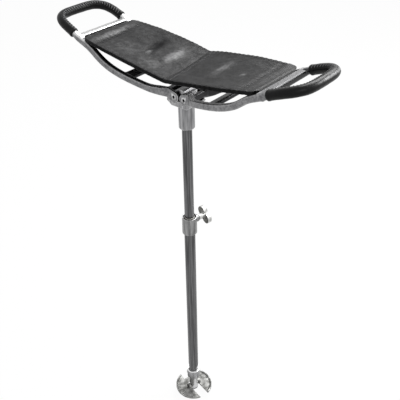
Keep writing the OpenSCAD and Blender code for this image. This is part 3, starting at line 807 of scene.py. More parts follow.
@dataclass
class FrameForm:
    """Sizes and lines of one frame, drawn for the right side."""

    hinge_h: float = 765.5
    hinge_x: float = 11.6
    rail_reach: float = 200.0
    rail_rise: float = 76.2
    rail_size: float = 12.0
    loop_half_w: float = 59.5
    loop_reach: float = 68.4
    loop_rise: float = 24.3
    loop_full: float = 3.8
    loop_slope: float = 0.5
    bar_d: float = 12.5
    rod_d: float = 8.4
    rod_back: float = 15.6
    rod_lift: float = 3.5
    web_knot: int = 6
    tilt_step: float = 0.2
    reach_shares: tuple[float, ...] = (0.115, 0.125, 0.15, 0.19, 0.235, 0.3, 0.475, 0.625,
                                       0.75, 0.875, 1)
    width_shares: tuple[float, ...] = (0.3, 0.31, 0.36, 0.47, 0.61, 0.731, 0.857, 0.928,
                                       0.945, 0.971, 1)
    rise_shares: tuple[float, ...] = (0.066, 0.07, 0.085, 0.115, 0.16, 0.223, 0.337, 0.458,
                                      0.604, 0.84, 1)
    thick_shares: tuple[float, ...] = (0.5, 0.55, 0.75, 0.95, 1, 1, 1, 1, 1, 1, 1)
    tall_shares: tuple[float, ...] = (1.58, 1.58, 1.5, 1.35, 1.15, 1.02, 1, 1, 1, 1, 1)

    @property
    def last_knot(self) -> int:
        """Place of the crossbar, counted along the lists."""
        return len(self.reach_shares) - 1

    def rail(self, u: float, side: int) -> Vector:
        """A point of a rail's centre line, with side -1 at the front and 1 at the back."""
        return Vector((self.rail_reach * along_curve(self.reach_shares, u),
                       side * self.loop_half_w * along_curve(self.width_shares, u),
                       self.hinge_h + self.rail_rise * along_curve(self.rise_shares, u)))

    def tilt(self, u: float) -> float:
        """Slope of a rail seen from the front, in radians."""
        step = self.rail(u, 1) - self.rail(u - self.tilt_step, 1)
        return math.atan2(step.z, step.x)

    def loop(self, angle: float, side: int) -> Vector:
        """A point of the hand loop's centre line, from the rail at 0 to the tip at 90."""
        turn = math.radians(angle)
        out = self.loop_reach * math.sin(turn) ** (2 / self.loop_full)
        bend = self.loop_slope * self.loop_reach - self.loop_rise
        return Vector((self.rail_reach + out,
                       side * self.loop_half_w * max(math.cos(turn), 0) ** (2 / self.loop_full),
                       self.hinge_h + self.rail_rise + self.loop_slope * out
                       - bend * (out / self.loop_reach) ** 2))

    def loop_line(self, start: float, step: float) -> list[Vector]:
        """Evenly spaced points of the hand loop's centre line.

        Args:
            start: Angle at which the line starts and ends.
            step: Distance between the points.

        Returns:
            The points, from the front rail round to the back rail.
        """
        fine = 600
        half = [self.loop(start + (90 - start) * i / fine, -1) for i in range(fine + 1)]
        line = half + [Vector((p.x, -p.y, p.z)) for p in reversed(half[:-1])]
        run = [0.0]
        for a, b in zip(line, line[1:]):
            run.append(run[-1] + (b - a).length)
        count = round(run[-1] / step)
        out, k = [], 0
        for i in range(count + 1):
            want = run[-1] * i / count
            while k < len(line) - 2 and run[k + 1] < want:
                k += 1
            share = (want - run[k]) / max(run[k + 1] - run[k], 1e-9)
            out.append(line[k].lerp(line[k + 1], share))
        return out

    @property
    def rod_place(self) -> Vector:
        """Centre of the rod that the leather wraps, on the seat's centre line."""
        bar, tilt = self.rail(self.last_knot, 1), self.tilt(self.last_knot)
        return Vector((bar.x - self.rod_back * math.cos(tilt) - self.rod_lift * math.sin(tilt), 0,
                       bar.z - self.rod_back * math.sin(tilt) + self.rod_lift * math.cos(tilt)))


FORM = FrameForm()


def directions(line: Sequence[Vector]) -> list[tuple[Vector, Vector, Vector]]:
    """Direction, side and upward vectors at each point of a line."""
    out = []
    for i in range(len(line)):
        along = (line[min(i + 1, len(line) - 1)] - line[max(i - 1, 0)]).normalized()
        side = along.cross(Vector((0, 0, 1))).normalized()
        out.append((along, side, side.cross(along)))
    return out


@dataclass
class FrameCastings:
    """The two cast frames: rails, web, crossbar, rod, lugs and the bar in the hand loop."""

    form: FrameForm = field(default_factory=lambda: FORM)
    sides: int = 24
    squareness: float = 5.0
    lug_t: float = 5.8
    lug_inner_y: float = 14.5
    lug_r: float = 10.25
    bore_r: float = 3.05
    heel_x: float = 24.5
    heel_w: float = 7.5
    ear_drop: float = 6.0
    crossbar: tuple[float, float, float] = (14.0, 128.0, 11.0)
    crossbar_edge: float = 2.0
    web_w: float = 19.0
    web_t: float = 8.0
    web_fillet: float = 8.0
    web_steps: int = 40
    heel_lift: float = 0.2
    heel_edge: float = 1.5
    bore_past: float = 5.0
    bar_steps: int = 70
    loop_start: float = 2.0
    loop_step: float = 2.0
    grain: float = 0.8

    def ring(self, centre: Vector, side: Vector, up: Vector, w: float, h: float,
             square: float) -> list[Vector]:
        """Points round one section of a bar."""
        out = []
        for k in range(self.sides):
            a = (k + 0.5) * math.tau / self.sides
            c, s = math.cos(a), math.sin(a)
            r = (abs(c) ** square + abs(s) ** square) ** (-1 / square)
            out.append(centre + side * (w / 2 * r * c) + up * (h / 2 * r * s))
        return out

    def bar(self) -> bpy.types.Object:
        """The rails and the hand loop, as one bar swept along their centre line."""
        form, steps = self.form, self.bar_steps
        knots = [form.last_knot * i / steps for i in range(steps + 1)]
        front = [form.rail(u, -1) for u in knots]
        loop = form.loop_line(self.loop_start, self.loop_step)
        line = front + loop + [Vector((p.x, -p.y, p.z)) for p in reversed(front)]
        sizes = [(form.rail_size * along_curve(form.thick_shares, u),
                  form.rail_size * along_curve(form.tall_shares, u), self.squareness)
                 for u in knots]
        round_bar = (form.bar_d, form.bar_d, 2.0)
        sections = sizes + [round_bar] * len(loop) + list(reversed(sizes))
        rings = [self.ring(p, side, up, *size)
                 for p, (_, side, up), size in zip(line, directions(line), sections)]
        return skin("bar", rings)

    def lug(self, side: int) -> bpy.types.Object:
        """One lug: its round end at the pin, its heel and the root of its rail."""
        form = self.form
        y0 = side * self.lug_inner_y
        y1 = side * (self.lug_inner_y + self.lug_t)
        spots = [(form.hinge_x, form.hinge_h, self.lug_r),
                 (self.heel_x + form.rail_size / 4, form.hinge_h + form.rail_size * 0.7,
                  form.rail_size / 2),
                 (self.heel_x - self.lug_t / 4, form.hinge_h - self.ear_drop / 8,
                  self.ear_drop * 7 / 8)]
        return hull(*(rod(r, Vector((x, y0, z)), Vector((x, y1, z)), 48) for x, z, r in spots))

    def web(self) -> bpy.types.Object:
        """The plate between the rails, with filleted roots."""
        form = self.form
        spot, tilt = form.rail(form.web_knot, 1), form.tilt(form.web_knot)
        place = (Matrix.Translation((spot.x, 0, spot.z))
                 @ Matrix.Rotation(-tilt, 4, "Y"))
        half = spot.y - form.rail_size / 4
        rings = []
        for i in range(self.web_steps + 1):
            y = -half + 2 * half * i / self.web_steps
            near = max(0.0, self.web_fillet - (half - abs(y)))
            flare = self.web_fillet - math.sqrt(max(self.web_fillet ** 2 - near ** 2, 0))
            rings.append([place @ p for p in self.ring(
                Vector((0, y, 0)), Vector((1, 0, 0)), Vector((0, 0, 1)),
                self.web_w + 2 * flare, self.web_t, self.squareness)])
        return skin("web", rings)

    def casting(self) -> bpy.types.Object:
        """The whole right frame as one casting."""
        form = self.form
        spot = form.rail(form.last_knot, 1)
        cross = Matrix.Translation((spot.x, 0, spot.z))
        reach = Vector((0, form.loop_half_w - form.rail_size / 4, 0))
        heel_half = self.lug_inner_y + self.lug_t
        parts = [
            self.bar(), self.web(), self.lug(-1), self.lug(1),
            block(Vector(self.crossbar), cross, self.crossbar_edge),
            rod(form.rod_d / 2, form.rod_place - reach, form.rod_place + reach),
            block(Vector((self.heel_w, 2 * heel_half, form.rail_size)), Matrix.Translation(
                (self.heel_x + self.heel_w / 2, 0,
                 form.hinge_h + self.heel_lift + form.rail_size / 2)), self.heel_edge),
        ]
        whole = cast(joined("casting", *parts), self.grain, 7, 0.55)
        pin = Vector((form.hinge_x, 0, form.hinge_h))
        past = Vector((0, heel_half + self.bore_past, 0))
        return drilled(whole, self.bore_r, pin - past, pin + past)

    def shade_marks(self, obj: bpy.types.Object, top_shade: float) -> None:
        """Marks where shade is painted: between the rails, on the crossbar's outer face and on its top.

        Args:
            obj: The casting.
            top_shade: How dark the crossbar's top is painted, from 0 to 1.
        """
        form = self.form
        knots = [form.last_knot * i / 60 for i in range(61)]
        rail = [(form.rail(u, 1).x, form.rail(u, 1).y) for u in knots]
        shares = []
        for v in obj.data.vertices:
            x, y = abs(v.co.x) / MM, abs(v.co.y) / MM
            half = next((b for a, b in rail if a >= x), rail[-1][1])
            between = (half - form.rail_size / 4 - y) / 4
            if v.normal.z > 0.5:
                between = (half + form.rail_size / 3 - y) / 2
            between = between if x < form.rail_reach - 9 else 0
            face = form.rail_reach + self.crossbar[0] / 2
            facing = (abs(v.normal.x) - 0.8) / 0.15
            outer = min((x - face + 0.9) / 0.6, facing) if y < form.loop_half_w - 8 else 0
            top = top_shade * (x > form.rail_reach - 9 and y < form.loop_half_w - 4)
            shares.append(min(max(between, outer, top, 0), 1) * 0.95 if x < face + 5 else 0.0)
        mark(obj, "painted_shade", shares)

    def polish(self, obj: bpy.types.Object, amount: float) -> None:
        """Marks the upward faces by the hand loop, for a painted highlight.

        Args:
            obj: The casting.
            amount: How bright the painted highlight is, from 0 to 1.
        """
        near = self.form.rail_reach - 22
        shares = [amount * min(max(v.normal.z * 2 - 0.2, 0), 1)
                  * min(max((abs(v.co.x) / MM - near) / 10, 0), 1) for v in obj.data.vertices]
        mark(obj, "polish", shares)

    def build(self) -> None:
        """Makes the right frame, and the left one as its mirror image."""
        right = self.casting()
        left = right.copy()
        left.data = right.data.copy()
        bpy.context.scene.collection.objects.link(left)
        left.data.transform(Matrix.Diagonal((-1, 1, 1, 1)))
        edit(left, lambda: bpy.ops.mesh.normals_make_consistent(inside=False))
        # The left frame gets a painted highlight by its hand loop; the right frame gets painted shade on its
        # crossbar's top.
        for obj, side, highlight_and_wear, top_shade in ((left, Side.LEFT, 0.85, 0.0),
                                          (right, Side.RIGHT, 0.0, 0.85)):
            self.polish(obj, highlight_and_wear)
            self.shade_marks(obj, top_shade)
            named(obj, f"{side.word}_frame_casting")
            dress(obj, f"{side.word}_frame", "cast", CASTING, [f"{side.word}_frame"])


@dataclass
class HandGrips:
    """The leather sleeves on the hand loops, laced along their upper inner side."""

    form: FrameForm = field(default_factory=lambda: FORM)
    start: float = 2.1
    bore_r: float = 6.4
    outer_r: float = 8.3
    sides: int = 40
    step: float = 1.15
    seam_angle: float = 128.0
    lace_pitch: float = 5.7
    lace_length: float = 6.4
    lace_thick: float = 2.0
    lace_margin: float = 4.0
    lace_slant: float = 0.35
    lace_lift: float = 0.2
    band_out: float = 0.74
    band_up: float = 0.67

    def radius(self, run: float, whole: float, angle: float) -> float:
        """The sleeve's radius at a distance along it and an angle round it.

        Args:
            run: Distance from the sleeve's start.
            whole: Length of the sleeve.
            angle: Angle from the outer side over the top, in radians.

        Returns:
            The radius, with the seam, its puckers and the rolled ends.
        """
        off = (angle - math.radians(self.seam_angle) + math.pi) % math.tau - math.pi
        end = min(run, whole - run)
        ridge = 0.45 * math.exp(-((abs(off) - 0.16) / 0.1) ** 2)
        groove = -0.55 * math.exp(-(off / 0.06) ** 2)
        pucker = 0.3 * math.cos(math.tau * run / self.lace_pitch) * math.exp(-(off / 0.5) ** 2)
        hem = 0.45 * math.exp(-((end - 2.6) / 1.8) ** 2)
        lump = 0.22 * noise.noise(Vector((run / 9, math.cos(angle) * 1.2, math.sin(angle) * 1.2)))
        round_off = 1.0 - math.sqrt(max(0.0, 1 - max(0.0, 1 - end / 1.0) ** 2))
        return self.outer_r + ridge + groove + pucker + hem + lump - round_off

    def sleeve(self) -> tuple[bpy.types.Object, list[Matrix]]:
        """The right sleeve and the places of its lacing."""
        line = self.form.loop_line(self.start, self.step)
        frames = directions(line)
        whole = sum((b - a).length for a, b in zip(line, line[1:]))
        step = whole / (len(line) - 1)
        angles = [k * math.tau / self.sides for k in range(self.sides)]

        def ring(i: int, inside: bool) -> list[Vector]:
            """Points round the sleeve, on its outside or its bore."""
            _, side, up = frames[i]
            return [line[i] + (side * math.cos(a) + up * math.sin(a))
                    * (self.bore_r if inside else self.radius(i * step, whole, a))
                    for a in angles]

        count = range(len(line))
        rings = ([ring(i, False) for i in count] + [ring(i, True) for i in reversed(count)]
                 + [ring(0, False)])
        return skin("sleeve", rings), self.lacing(line, frames, whole)

    def lacing(self, line: list[Vector], frames: list[tuple[Vector, Vector, Vector]],
               whole: float) -> list[Matrix]:
        """Places of the laces that cross the seam."""
        out = []
        angle = math.radians(self.seam_angle)
        count = int((whole - 2 * self.lace_margin) / self.lace_pitch)
        for n in range(count + 1):
            run = self.lace_margin + n * self.lace_pitch
            i = min(round(run / whole * (len(line) - 1)), len(line) - 1)
            along, side, up = frames[i]
            away = side * math.cos(angle) + up * math.sin(angle)
            across = (away.cross(along) + along * self.lace_slant).normalized()
            spot = line[i] + away * (self.outer_r + self.lace_lift)
            turn = Matrix((across, away.cross(across), away)).transposed().to_4x4()
            out.append(Matrix.Translation(spot) @ turn)
        return out

    def light_and_wear(self, obj: bpy.types.Object, amount: float, lean: int) -> None:
        """Marks a painted highlight band on the upper outer side of the loop.

        Args:
            obj: The sleeve.
            amount: How bright the painted highlight is, from 0 to 1.
            lean: -1 if the highlight is strongest at the front, 1 if strongest at the back.
        """
        shares = []
        for v in obj.data.vertices:
            sign = math.copysign(1, v.co.x)
            way = Vector((v.co.x - sign * self.form.rail_reach * MM, v.co.y, 0)).normalized()
            facing = v.normal.dot(way * self.band_out + Vector((0, 0, self.band_up)))
            along = min(max(0.95 + lean * v.co.y / (self.form.loop_half_w * MM), 0), 1)
            shares.append(amount * along * min(max((facing - 0.84) / 0.14, 0), 1))
        mark(obj, "wear", shares)

    def build(self) -> None:
        """Makes both grips with their lacing."""
        right, places = self.sleeve()
        lace = repeated("lace", thread_bead(self.lace_length, self.lace_thick), places)
        mirror = Matrix.Diagonal((-1, 1, 1, 1))
        for side in Side:
            for source, name, finish in ((right, "grip_leather", GRIP_HIDE),
                                         (lace, "grip_lacing", LACE)):
                obj = source.copy()
                obj.data = source.data.copy()
                bpy.context.scene.collection.objects.link(obj)
                if side is Side.LEFT:
                    obj.data.transform(mirror)
                    edit(obj, lambda: bpy.ops.mesh.normals_make_consistent(inside=False))
                named(obj, f"{side.word}_{name}")
                if source is right:
                    # Painted highlight band on the sleeve, fuller on the right loop.
                    self.light_and_wear(obj, *((0.5, -1) if side is Side.LEFT else (1.0, 1)))
                stands_for = [f"{side.word}_grip"] if source is right else []
                dress(obj, f"{side.word}_frame", "grip_leather", finish, stands_for, 60)
        for source in (right, lace):
            bpy.data.objects.remove(source)


# Seat


@dataclass(frozen=True)
class Dent:
    """A soft hollow or swelling in the leather."""

    x: float
    y: float
    length_x: float
    length_y: float
    height: float

    def at(self, x: float, y: float) -> float:
        """Its height at a point of the seat."""
        far = ((x - self.x) / self.length_x) ** 2 + ((y - self.y) / self.length_y) ** 2
        return self.height * math.exp(-far)


@dataclass
class LeatherSling:
    """The leather seat: one strap, wrapped round a rod at each end and sewn under."""

    form: FrameForm = field(default_factory=lambda: FORM)
    thick: float = 3.6
    half_mid: float = 66.0
    half_end: float = 62.5
    sag_front: float = 26.3
    sag_back: float = 19.3
    sag_across: float = 3.0
    front_power: float = 0.9
    back_power: float = 1.95
    valley_front: float = 10.6
    valley_back: float = 1.0
    gap: float = 0.3
    wrap_gap: float = 0.2
    wrap_half_w: float = 49.0
    flap_len: float = 34.0
    corner: float = 9.0
    seam_x: float = 157.0
    stitch_pitch: float = 4.4
    stitch_length: float = 3.2
    stitch_thick: float = 0.8
    hem_thick: float = 2.4
    inset: float = 5.0
    fold_deg: float = 66.0
    fold_room: float = 2.0
    # Base level of the mark of scuffing and painted light on each panel; the left panel's higher level paints a
    # lighter sheen on it.
    wear_left: float = 0.45
    wear_right: float = 0.28
    across_steps: int = 56
    along_steps: int = 84
    wrap_steps: int = 22
    flap_steps: int = 12
    dents: tuple[Dent, ...] = (
        Dent(-80, 14, 9, 24, -3.0), Dent(-76, -9, 3, 9, 1.2), Dent(-70, -12, 3, 7, -1.0),
        Dent(-34, 6, 10, 30, 2.2), Dent(75, 6, 8, 28, 1.8), Dent(124, -4, 4, 5, 1.0),
        Dent(45, -30, 14, 16, -0.9), Dent(-118, 20, 16, 22, 0.8), Dent(110, 34, 14, 18, 0.7),
    )

    # Spots of that mark: scuffed bumps and lighter patches, painted highlights along the ends at x -168 and 172, and
    # painted shade in the hollow at x -80 and inside the left end's band.
    light_and_wear_spots: tuple[Dent, ...] = (
        Dent(-34, 7, 9, 25, 1.1), Dent(75, 6, 7, 25, 0.8), Dent(124, -4, 4, 6, 0.9),
        Dent(-77, -10, 3, 8, 1.0), Dent(-168, -6, 6, 44, 1.0), Dent(-80, 14, 10, 20, -0.9),
        Dent(-155, -4, 5, 44, -0.4),
        Dent(172, 0, 12, 40, 0.3), Dent(-40, -40, 25, 16, 0.3), Dent(-110, -30, 25, 20, 0.25),
    )

    @property
    def outer_r(self) -> float:
        """Radius of the leather where it wraps the rod."""
        return self.form.rod_d / 2 + self.wrap_gap + self.thick

    def valley(self, across: float) -> float:
        """X of the valley, from the front edge at 0 to the back edge at 1."""
        return self.valley_front + (self.valley_back - self.valley_front) * across

    def height(self, along: float, across: float) -> float:
        """The smooth sling's height, from the valley at 0 to the rod at 1."""
        low = 1 - min(max(along, 0.0), 1.0)
        front = self.sag_front * low ** self.front_power
        back = self.sag_back * low ** self.back_power
        dip = self.sag_across * 4 * across * (1 - across) * (1 - (1 - low) ** 4)
        return (self.form.rod_place.z + self.outer_r - front * (1 - across) - back * across - dip)

    def half_width(self, along: float) -> float:
        """Half of the strap's width, from the valley at 0 to the rod at 1."""
        return self.half_end + (self.half_mid - self.half_end) * (1 - along ** 2)

    def relief(self, x: float, y: float, along: float, across: float) -> float:
        """How far the worn leather stands over the smooth sling.

        Args:
            x: Place along the seat.
            y: Place across the seat.
            along: Share of the way from the valley to the rod.
            across: Share of the way from the front edge to the back edge.

        Returns:
            The height in millimetres.
        """
        far = abs(x)
        inner = min(across, 1 - across)
        out = sum(d.at(x, y) for d in self.dents)
        out -= 1.1 * math.exp(-((far - self.seam_x - 2) / 5) ** 2) * min(1, inner * 8)
        out += 0.5 * math.exp(-((far - 172) / 6) ** 2)
        pucker = math.cos(math.tau * y / 8.8) * math.exp(-((far - self.seam_x) / 9) ** 2)
        out += 0.16 * pucker
        out += 0.9 * noise.noise(Vector((x / 42, y / 30, 3.1)))
        out += 0.35 * noise.noise(Vector((x / 15, y / 12, 8.7)))
        edge = 0.35 * math.cos(math.tau * x / 9.5) * math.exp(-inner * 22)
        fade = min(1.0, (1.02 - along) * 9) * min(1.0, along * 12 + 0.25)
        return (out + edge) * max(fade, 0.0)

    def top(self, side: Side, along: float, v: float) -> Vector:
        """A point on the panel's upper face.

        Args:
            side: The panel.
            along: Share of the way from the valley to the rod.
            v: From -1 at the front edge to 1 at the back edge.

        Returns:
            The point.
        """
        across = (v + 1) / 2
        start = self.valley(across) + side.value * self.gap / 2
        x = start + (side.value * self.form.rod_place.x - start) * along
        y = self.half_width(along) * v
        return Vector((x, y, self.height(along, across) + self.relief(x, y, along, across)))

    def outside(self, side: Side, run: float, v: float) -> Vector:
        """A point on the strap's outer face: panel, then the wrap, then the flap.

        Args:
            side: The panel.
            run: 0 to 1 on the panel, to 2 round the rod, to 3 on the flap.
            v: From -1 at the front edge to 1 at the back edge.

        Returns:
            The point.
        """
        centre = self.form.rod_place
        if run <= 1:
            point = self.top(side, run, v)
            near = max(0.0, abs(point.x) - (centre.x - self.corner)) / self.corner
            narrow = self.half_end - self.wrap_half_w
            shrink = narrow * (1 - math.sqrt(max(0.0, 1 - (0.62 * near) ** 2)))
            point.y -= v * shrink
            return point
        start = self.half_end - (self.half_end - self.wrap_half_w) * (
            1 - math.sqrt(1 - 0.62 ** 2))
        if run <= 2:
            angle = math.pi * (run - 1)
            settle = min(1.0, (run - 1) * 4)
            half = start + (self.wrap_half_w - start) * (1 - (1 - settle) ** 2)
            return Vector((side.value * (centre.x + self.outer_r * math.sin(angle)), half * v,
                           centre.z + self.outer_r * math.cos(angle)))
        back = (run - 2) * self.flap_len
        x = centre.x - back
        across = (v * self.wrap_half_w / self.half_end + 1) / 2
        above = self.height(x / centre.x, across) - 2 * self.thick - 0.2
        ease = (run - 2) ** 2 * (3 - 2 * (run - 2))
        low = centre.z - self.outer_r
        return Vector((side.value * x, self.wrap_half_w * v, low + (above - low) * ease))

    def normal(self, side: Side, run: float, v: float) -> Vector:
        """Outward direction of the strap's outer face."""
        step = 0.004
        a = self.outside(side, max(run - step, 0), v)
        b = self.outside(side, min(run + step, 3), v)
        c = self.outside(side, run, max(v - 0.02, -1))
        d = self.outside(side, run, min(v + 0.02, 1))
        out = (b - a).cross(d - c).normalized()
        return out if side is Side.RIGHT else -out

    def across_places(self) -> list[float]:
        """Places across the strap, from -1 at the front edge to 1 at the back edge."""
        return [-1 + 2 * i / self.across_steps for i in range(self.across_steps + 1)]

    def ring(self, side: Side, run: float) -> list[Vector]:
        """Points round the strap's section, with its doubled, rounded edges."""
        faces = []
        for v in self.across_places():
            faces.append((self.outside(side, run, v), self.normal(side, run, v)))
        outer = [p for p, _ in faces]
        hem = self.hem_thick if run < 1 else 0.0
        inner = [p - n * (self.thick + hem * max(0.0, min(1.0, (abs(v) - 0.86) * 25)))
                 for (p, n), v in zip(faces, self.across_places())]
        rims = []
        for here, next_to in ((-1, -2), (0, 1)):
            point, way = faces[here]
            out = (point - outer[next_to]).normalized()
            rims.append([point - way * (self.thick + hem) * depth + out * swell
                         for depth, swell in ((0.12, 0.5), (0.34, 0.75), (0.46, 0.55),
                                              (0.5, 0.2), (0.54, 0.55), (0.66, 0.75),
                                              (0.88, 0.5))])
        return outer + rims[0] + inner[::-1] + rims[1][::-1]

    def panel(self, side: Side) -> bpy.types.Object:
        """One half of the strap, as a closed skin."""
        runs = [i / self.along_steps for i in range(self.along_steps)]
        runs += [1 + i / self.wrap_steps for i in range(self.wrap_steps)]
        runs += [2 + i / self.flap_steps for i in range(self.flap_steps + 1)]
        obj = skin(f"seat_panel_{side.word}", [self.ring(side, r) for r in runs])
        # The mark lightens the leather where it is scuffed and where light is painted.
        mark(obj, "wear", [
            min(max(self.base_wear_and_light(v.co.x / MM) + sum(light_and_wear.at(v.co.x / MM, v.co.y / MM) for light_and_wear in self.light_and_wear_spots), 0), 1.5)
            * min(max((self.half_mid - 1.5 - abs(v.co.y) / MM) / 3, 0), 1)
            for v in obj.data.vertices])
        return obj

    def base_wear_and_light(self, x: float) -> float:
        """Base level of the mark of scuffing and painted light along the seat, without its spots; higher on the left
        for a painted lighter sheen.
        """
        share = min(max((x + 40) / 80, 0), 1)
        return self.wear_left + (self.wear_right - self.wear_left) * share

    def stitch(self, side: Side, at: tuple[float, float], to: tuple[float, float],
               under: bool = False) -> Matrix:
        """Place of one stitch on the strap, lying from one place towards another."""
        here, there = self.outside(side, *at), self.outside(side, *to)
        up = self.normal(side, *at)
        along = (there - here).normalized()
        along = (along - up * along.dot(up)).normalized()
        turn = Matrix((along, up.cross(along), up)).transposed().to_4x4()
        lift = -self.thick if under else 0.05
        return Matrix.Translation(here + up * lift) @ turn

    def stitch_rows(self, side: Side) -> list[Matrix]:
        """Places of the stitches of one half of the strap."""
        out = []
        length = self.form.rod_place.x
        count = int(length * 0.95 / self.stitch_pitch)
        for n in range(1, count):
            run = n * self.stitch_pitch / length
            for edge in (-1, 1):
                for face in (False, True):
                    v = edge * (1 - self.inset / self.half_width(run))
                    out.append(self.stitch(side, (run, v), (run + 0.01, v), face))
        for row in (self.seam_x, self.seam_x + 4.0):
            out += self.cross_row(side, row / length, self.wrap_half_w - 3, False)
            out += self.cross_row(side, 2 + (length - row) / self.flap_len,
                                  self.wrap_half_w - 3, True)
        if side is Side.RIGHT:
            for row in (8.0, 11.0):
                out += self.cross_row(side, row / length, self.half_mid - self.inset, False)
        return out

    def cross_row(self, side: Side, run: float, reach: float, flap: bool) -> list[Matrix]:
        """Places of a row of stitches across the strap, on its face or its flap."""
        half = self.wrap_half_w if flap else self.half_width(min(run, 1))
        count = int(2 * reach / self.stitch_pitch)
        places = []
        for n in range(count + 1):
            v = (-reach + 2 * reach * n / count) / half
            places.append(self.stitch(side, (run, v), (run, v + 0.02)))
        return places

    def fold_weight(self, x: float, y: float) -> float:
        """How far a point follows its frame when the frame folds up, from 0 to 1.

        The strap then hangs down beside the seat's centre plane, so each point turns
        about its frame's pin only until it comes near to that plane.

        Args:
            x: Distance from the seat's middle towards the panel's own side.
            y: Place across the seat.

        Returns:
            The share of the frame's turn.
        """
        form = self.form
        across = min(max(y / self.half_mid / 2 + 0.5, 0), 1)
        along = min(max(x / form.rod_place.x, 0), 1)
        out_x, out_z = x - form.hinge_x, self.height(along, across) - form.hinge_h
        far = math.hypot(out_x, out_z)
        most = math.degrees(math.asin(min(1, (form.hinge_x - self.fold_room) / far))) + 90
        now = math.degrees(math.atan2(out_z, out_x))
        return min(max((most - now) / self.fold_deg, 0), 1)

    def bend(self, obj: bpy.types.Object, side: Side) -> None:
        """Bakes a piece's placement into its mesh and works out how far each point would follow its frame; the shares
        are not used.

        Args:
            obj: The piece, with its final mesh and no parent.
            side: The frame's side.
        """
        valley = Vector((0, 0, self.height(0, 0.5))) * MM
        end = Vector((side.value * self.form.rod_place.x, 0, self.form.rod_place.z)) * MM
        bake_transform(obj)
        shares = [self.fold_weight(side.value * v.co.x / MM, v.co.y / MM)
                  for v in obj.data.vertices]

    def build(self) -> None:
        """Makes both halves of the strap and their stitching."""
        length = self.form.rod_place.x + math.pi * self.outer_r + self.flap_len
        for side in Side:
            panel = self.panel(side)
            rows = self.stitch_rows(side)
            thread = repeated(f"seat_stitching_{side.word}",
                              thread_bead(self.stitch_length, self.stitch_thick), rows)
            for obj, finish in ((panel, SEAT_HIDE), (thread, THREAD)):
                pick(obj)
                bpy.ops.object.shade_smooth_by_angle(angle=math.radians(60))
                obj.data.materials.append(finish.material())
                self.bend(obj, side)
            note(panel, "leather", [f"seat_{side.word}"])
            note(thread, "leather", [])


# Hub and shaft


@dataclass
class Hub:
    """The cast head block with its socket, and the two hinge pins."""

    form: FrameForm = field(default_factory=lambda: FORM)
    pin_r: float = 3.0
    pin_half: float = 20.3
    dimple_r: float = 2.0
    dimple_depth: float = 2.4
    crown_shade: float = 0.5

    def pin(self, side: Side) -> bpy.types.Object:
        """A hinge pin, peened at its ends round a dimple."""
        end, r = self.pin_half + 0.35, self.pin_r
        half = rounded([(0, end - self.dimple_depth, 0),
                        (self.dimple_r * 0.75, end - self.dimple_depth, 0.3),
                        (self.dimple_r, end, 0.2), (r, end - 0.1, 0.5), (r, 0, 0)])
        profile = half + [(x, -z) for x, z in reversed(half[:-1])]
        place = (Matrix.Translation((side.value * self.form.hinge_x, 0, self.form.hinge_h))
                 @ Matrix.Rotation(math.radians(90), 4, "X"))
        return turned(f"{side.word}_hinge_pin_turned", profile, 36, place)

    def build(self) -> None:
        """Makes the head block and its pins."""
        head = cast(copy_of_node("head_block", "head_block_casting"), 0.5, 5, 0.5)
        # Painted shade: the head block's upward faces at its crown are darkened.
        mark(head, "painted_shade", [min(max(v.normal.z * 2 - 0.6, 0), self.crown_shade)
                             * (v.co.z > (self.form.hinge_h - 4) * MM)
                             for v in head.data.vertices])
        dress(head, "upper_shaft", "cast", TURNED_CASTING, ["head_block"])
        for side in Side:
            pin = dress(self.pin(side), "upper_shaft", "steel", PIN_STEEL,
                        [f"{side.word}_hinge_pin"])
            # Painted shade: the faces inside the pins' dimples get the dark steel.
            pin.data.materials.append(DARK_STEEL.material())
            axis = Vector((side.value * self.form.hinge_x, 0, self.form.hinge_h)) * MM
            for face in pin.data.polygons:
                out = face.center - axis
                if math.hypot(out.x, out.z) < self.dimple_r * 0.95 * MM:
                    face.material_index = 1


@dataclass
class Shaft:
    """The two tubes that slide in each other, and the nylon bush between them."""

    upper_r: float = 9.525
    upper_wall: float = 1.2
    upper_span: Point = (342.5, 744.5)
    lower_r: float = 11.1
    lower_bore_r: float = 10.1
    lower_span: Point = (42.5, 501.5)
    liner_bore_r: float = 9.575
    liner_r: float = 10.08
    liner_span: Point = (421.95, 503.0)

    def tube(self, name: str, outer: float, inner: float, span: Point,
             edge: float) -> bpy.types.Object:
        """A tube with its ends' edges eased."""
        low, high = span
        corners = [(outer, (low + high) / 2, 0), (outer, high, edge), (inner, high, edge / 2),
                   (inner, low, edge / 2), (outer, low, edge), (outer, (low + high) / 2, 0)]
        return turned(name, rounded(corners), 96)

    def build(self) -> None:
        """Makes the tubes and the bush."""
        upper = self.tube("upper_tube_drawn", self.upper_r, self.upper_r - self.upper_wall,
                          self.upper_span, 0.4)
        dress(upper, "upper_shaft", "tube", TUBE, ["upper_tube"])
        lower = self.tube("lower_tube_drawn", self.lower_r, self.lower_bore_r,
                          self.lower_span, 0.3)
        dress(lower, "lower_shaft", "tube", TUBE, ["lower_tube"])
        liner = self.tube("liner_bush_moulded", self.liner_r, self.liner_bore_r,
                          self.liner_span, 0.3)
        dress(liner, "lower_shaft", "nylon", NYLON, ["liner_bush"])


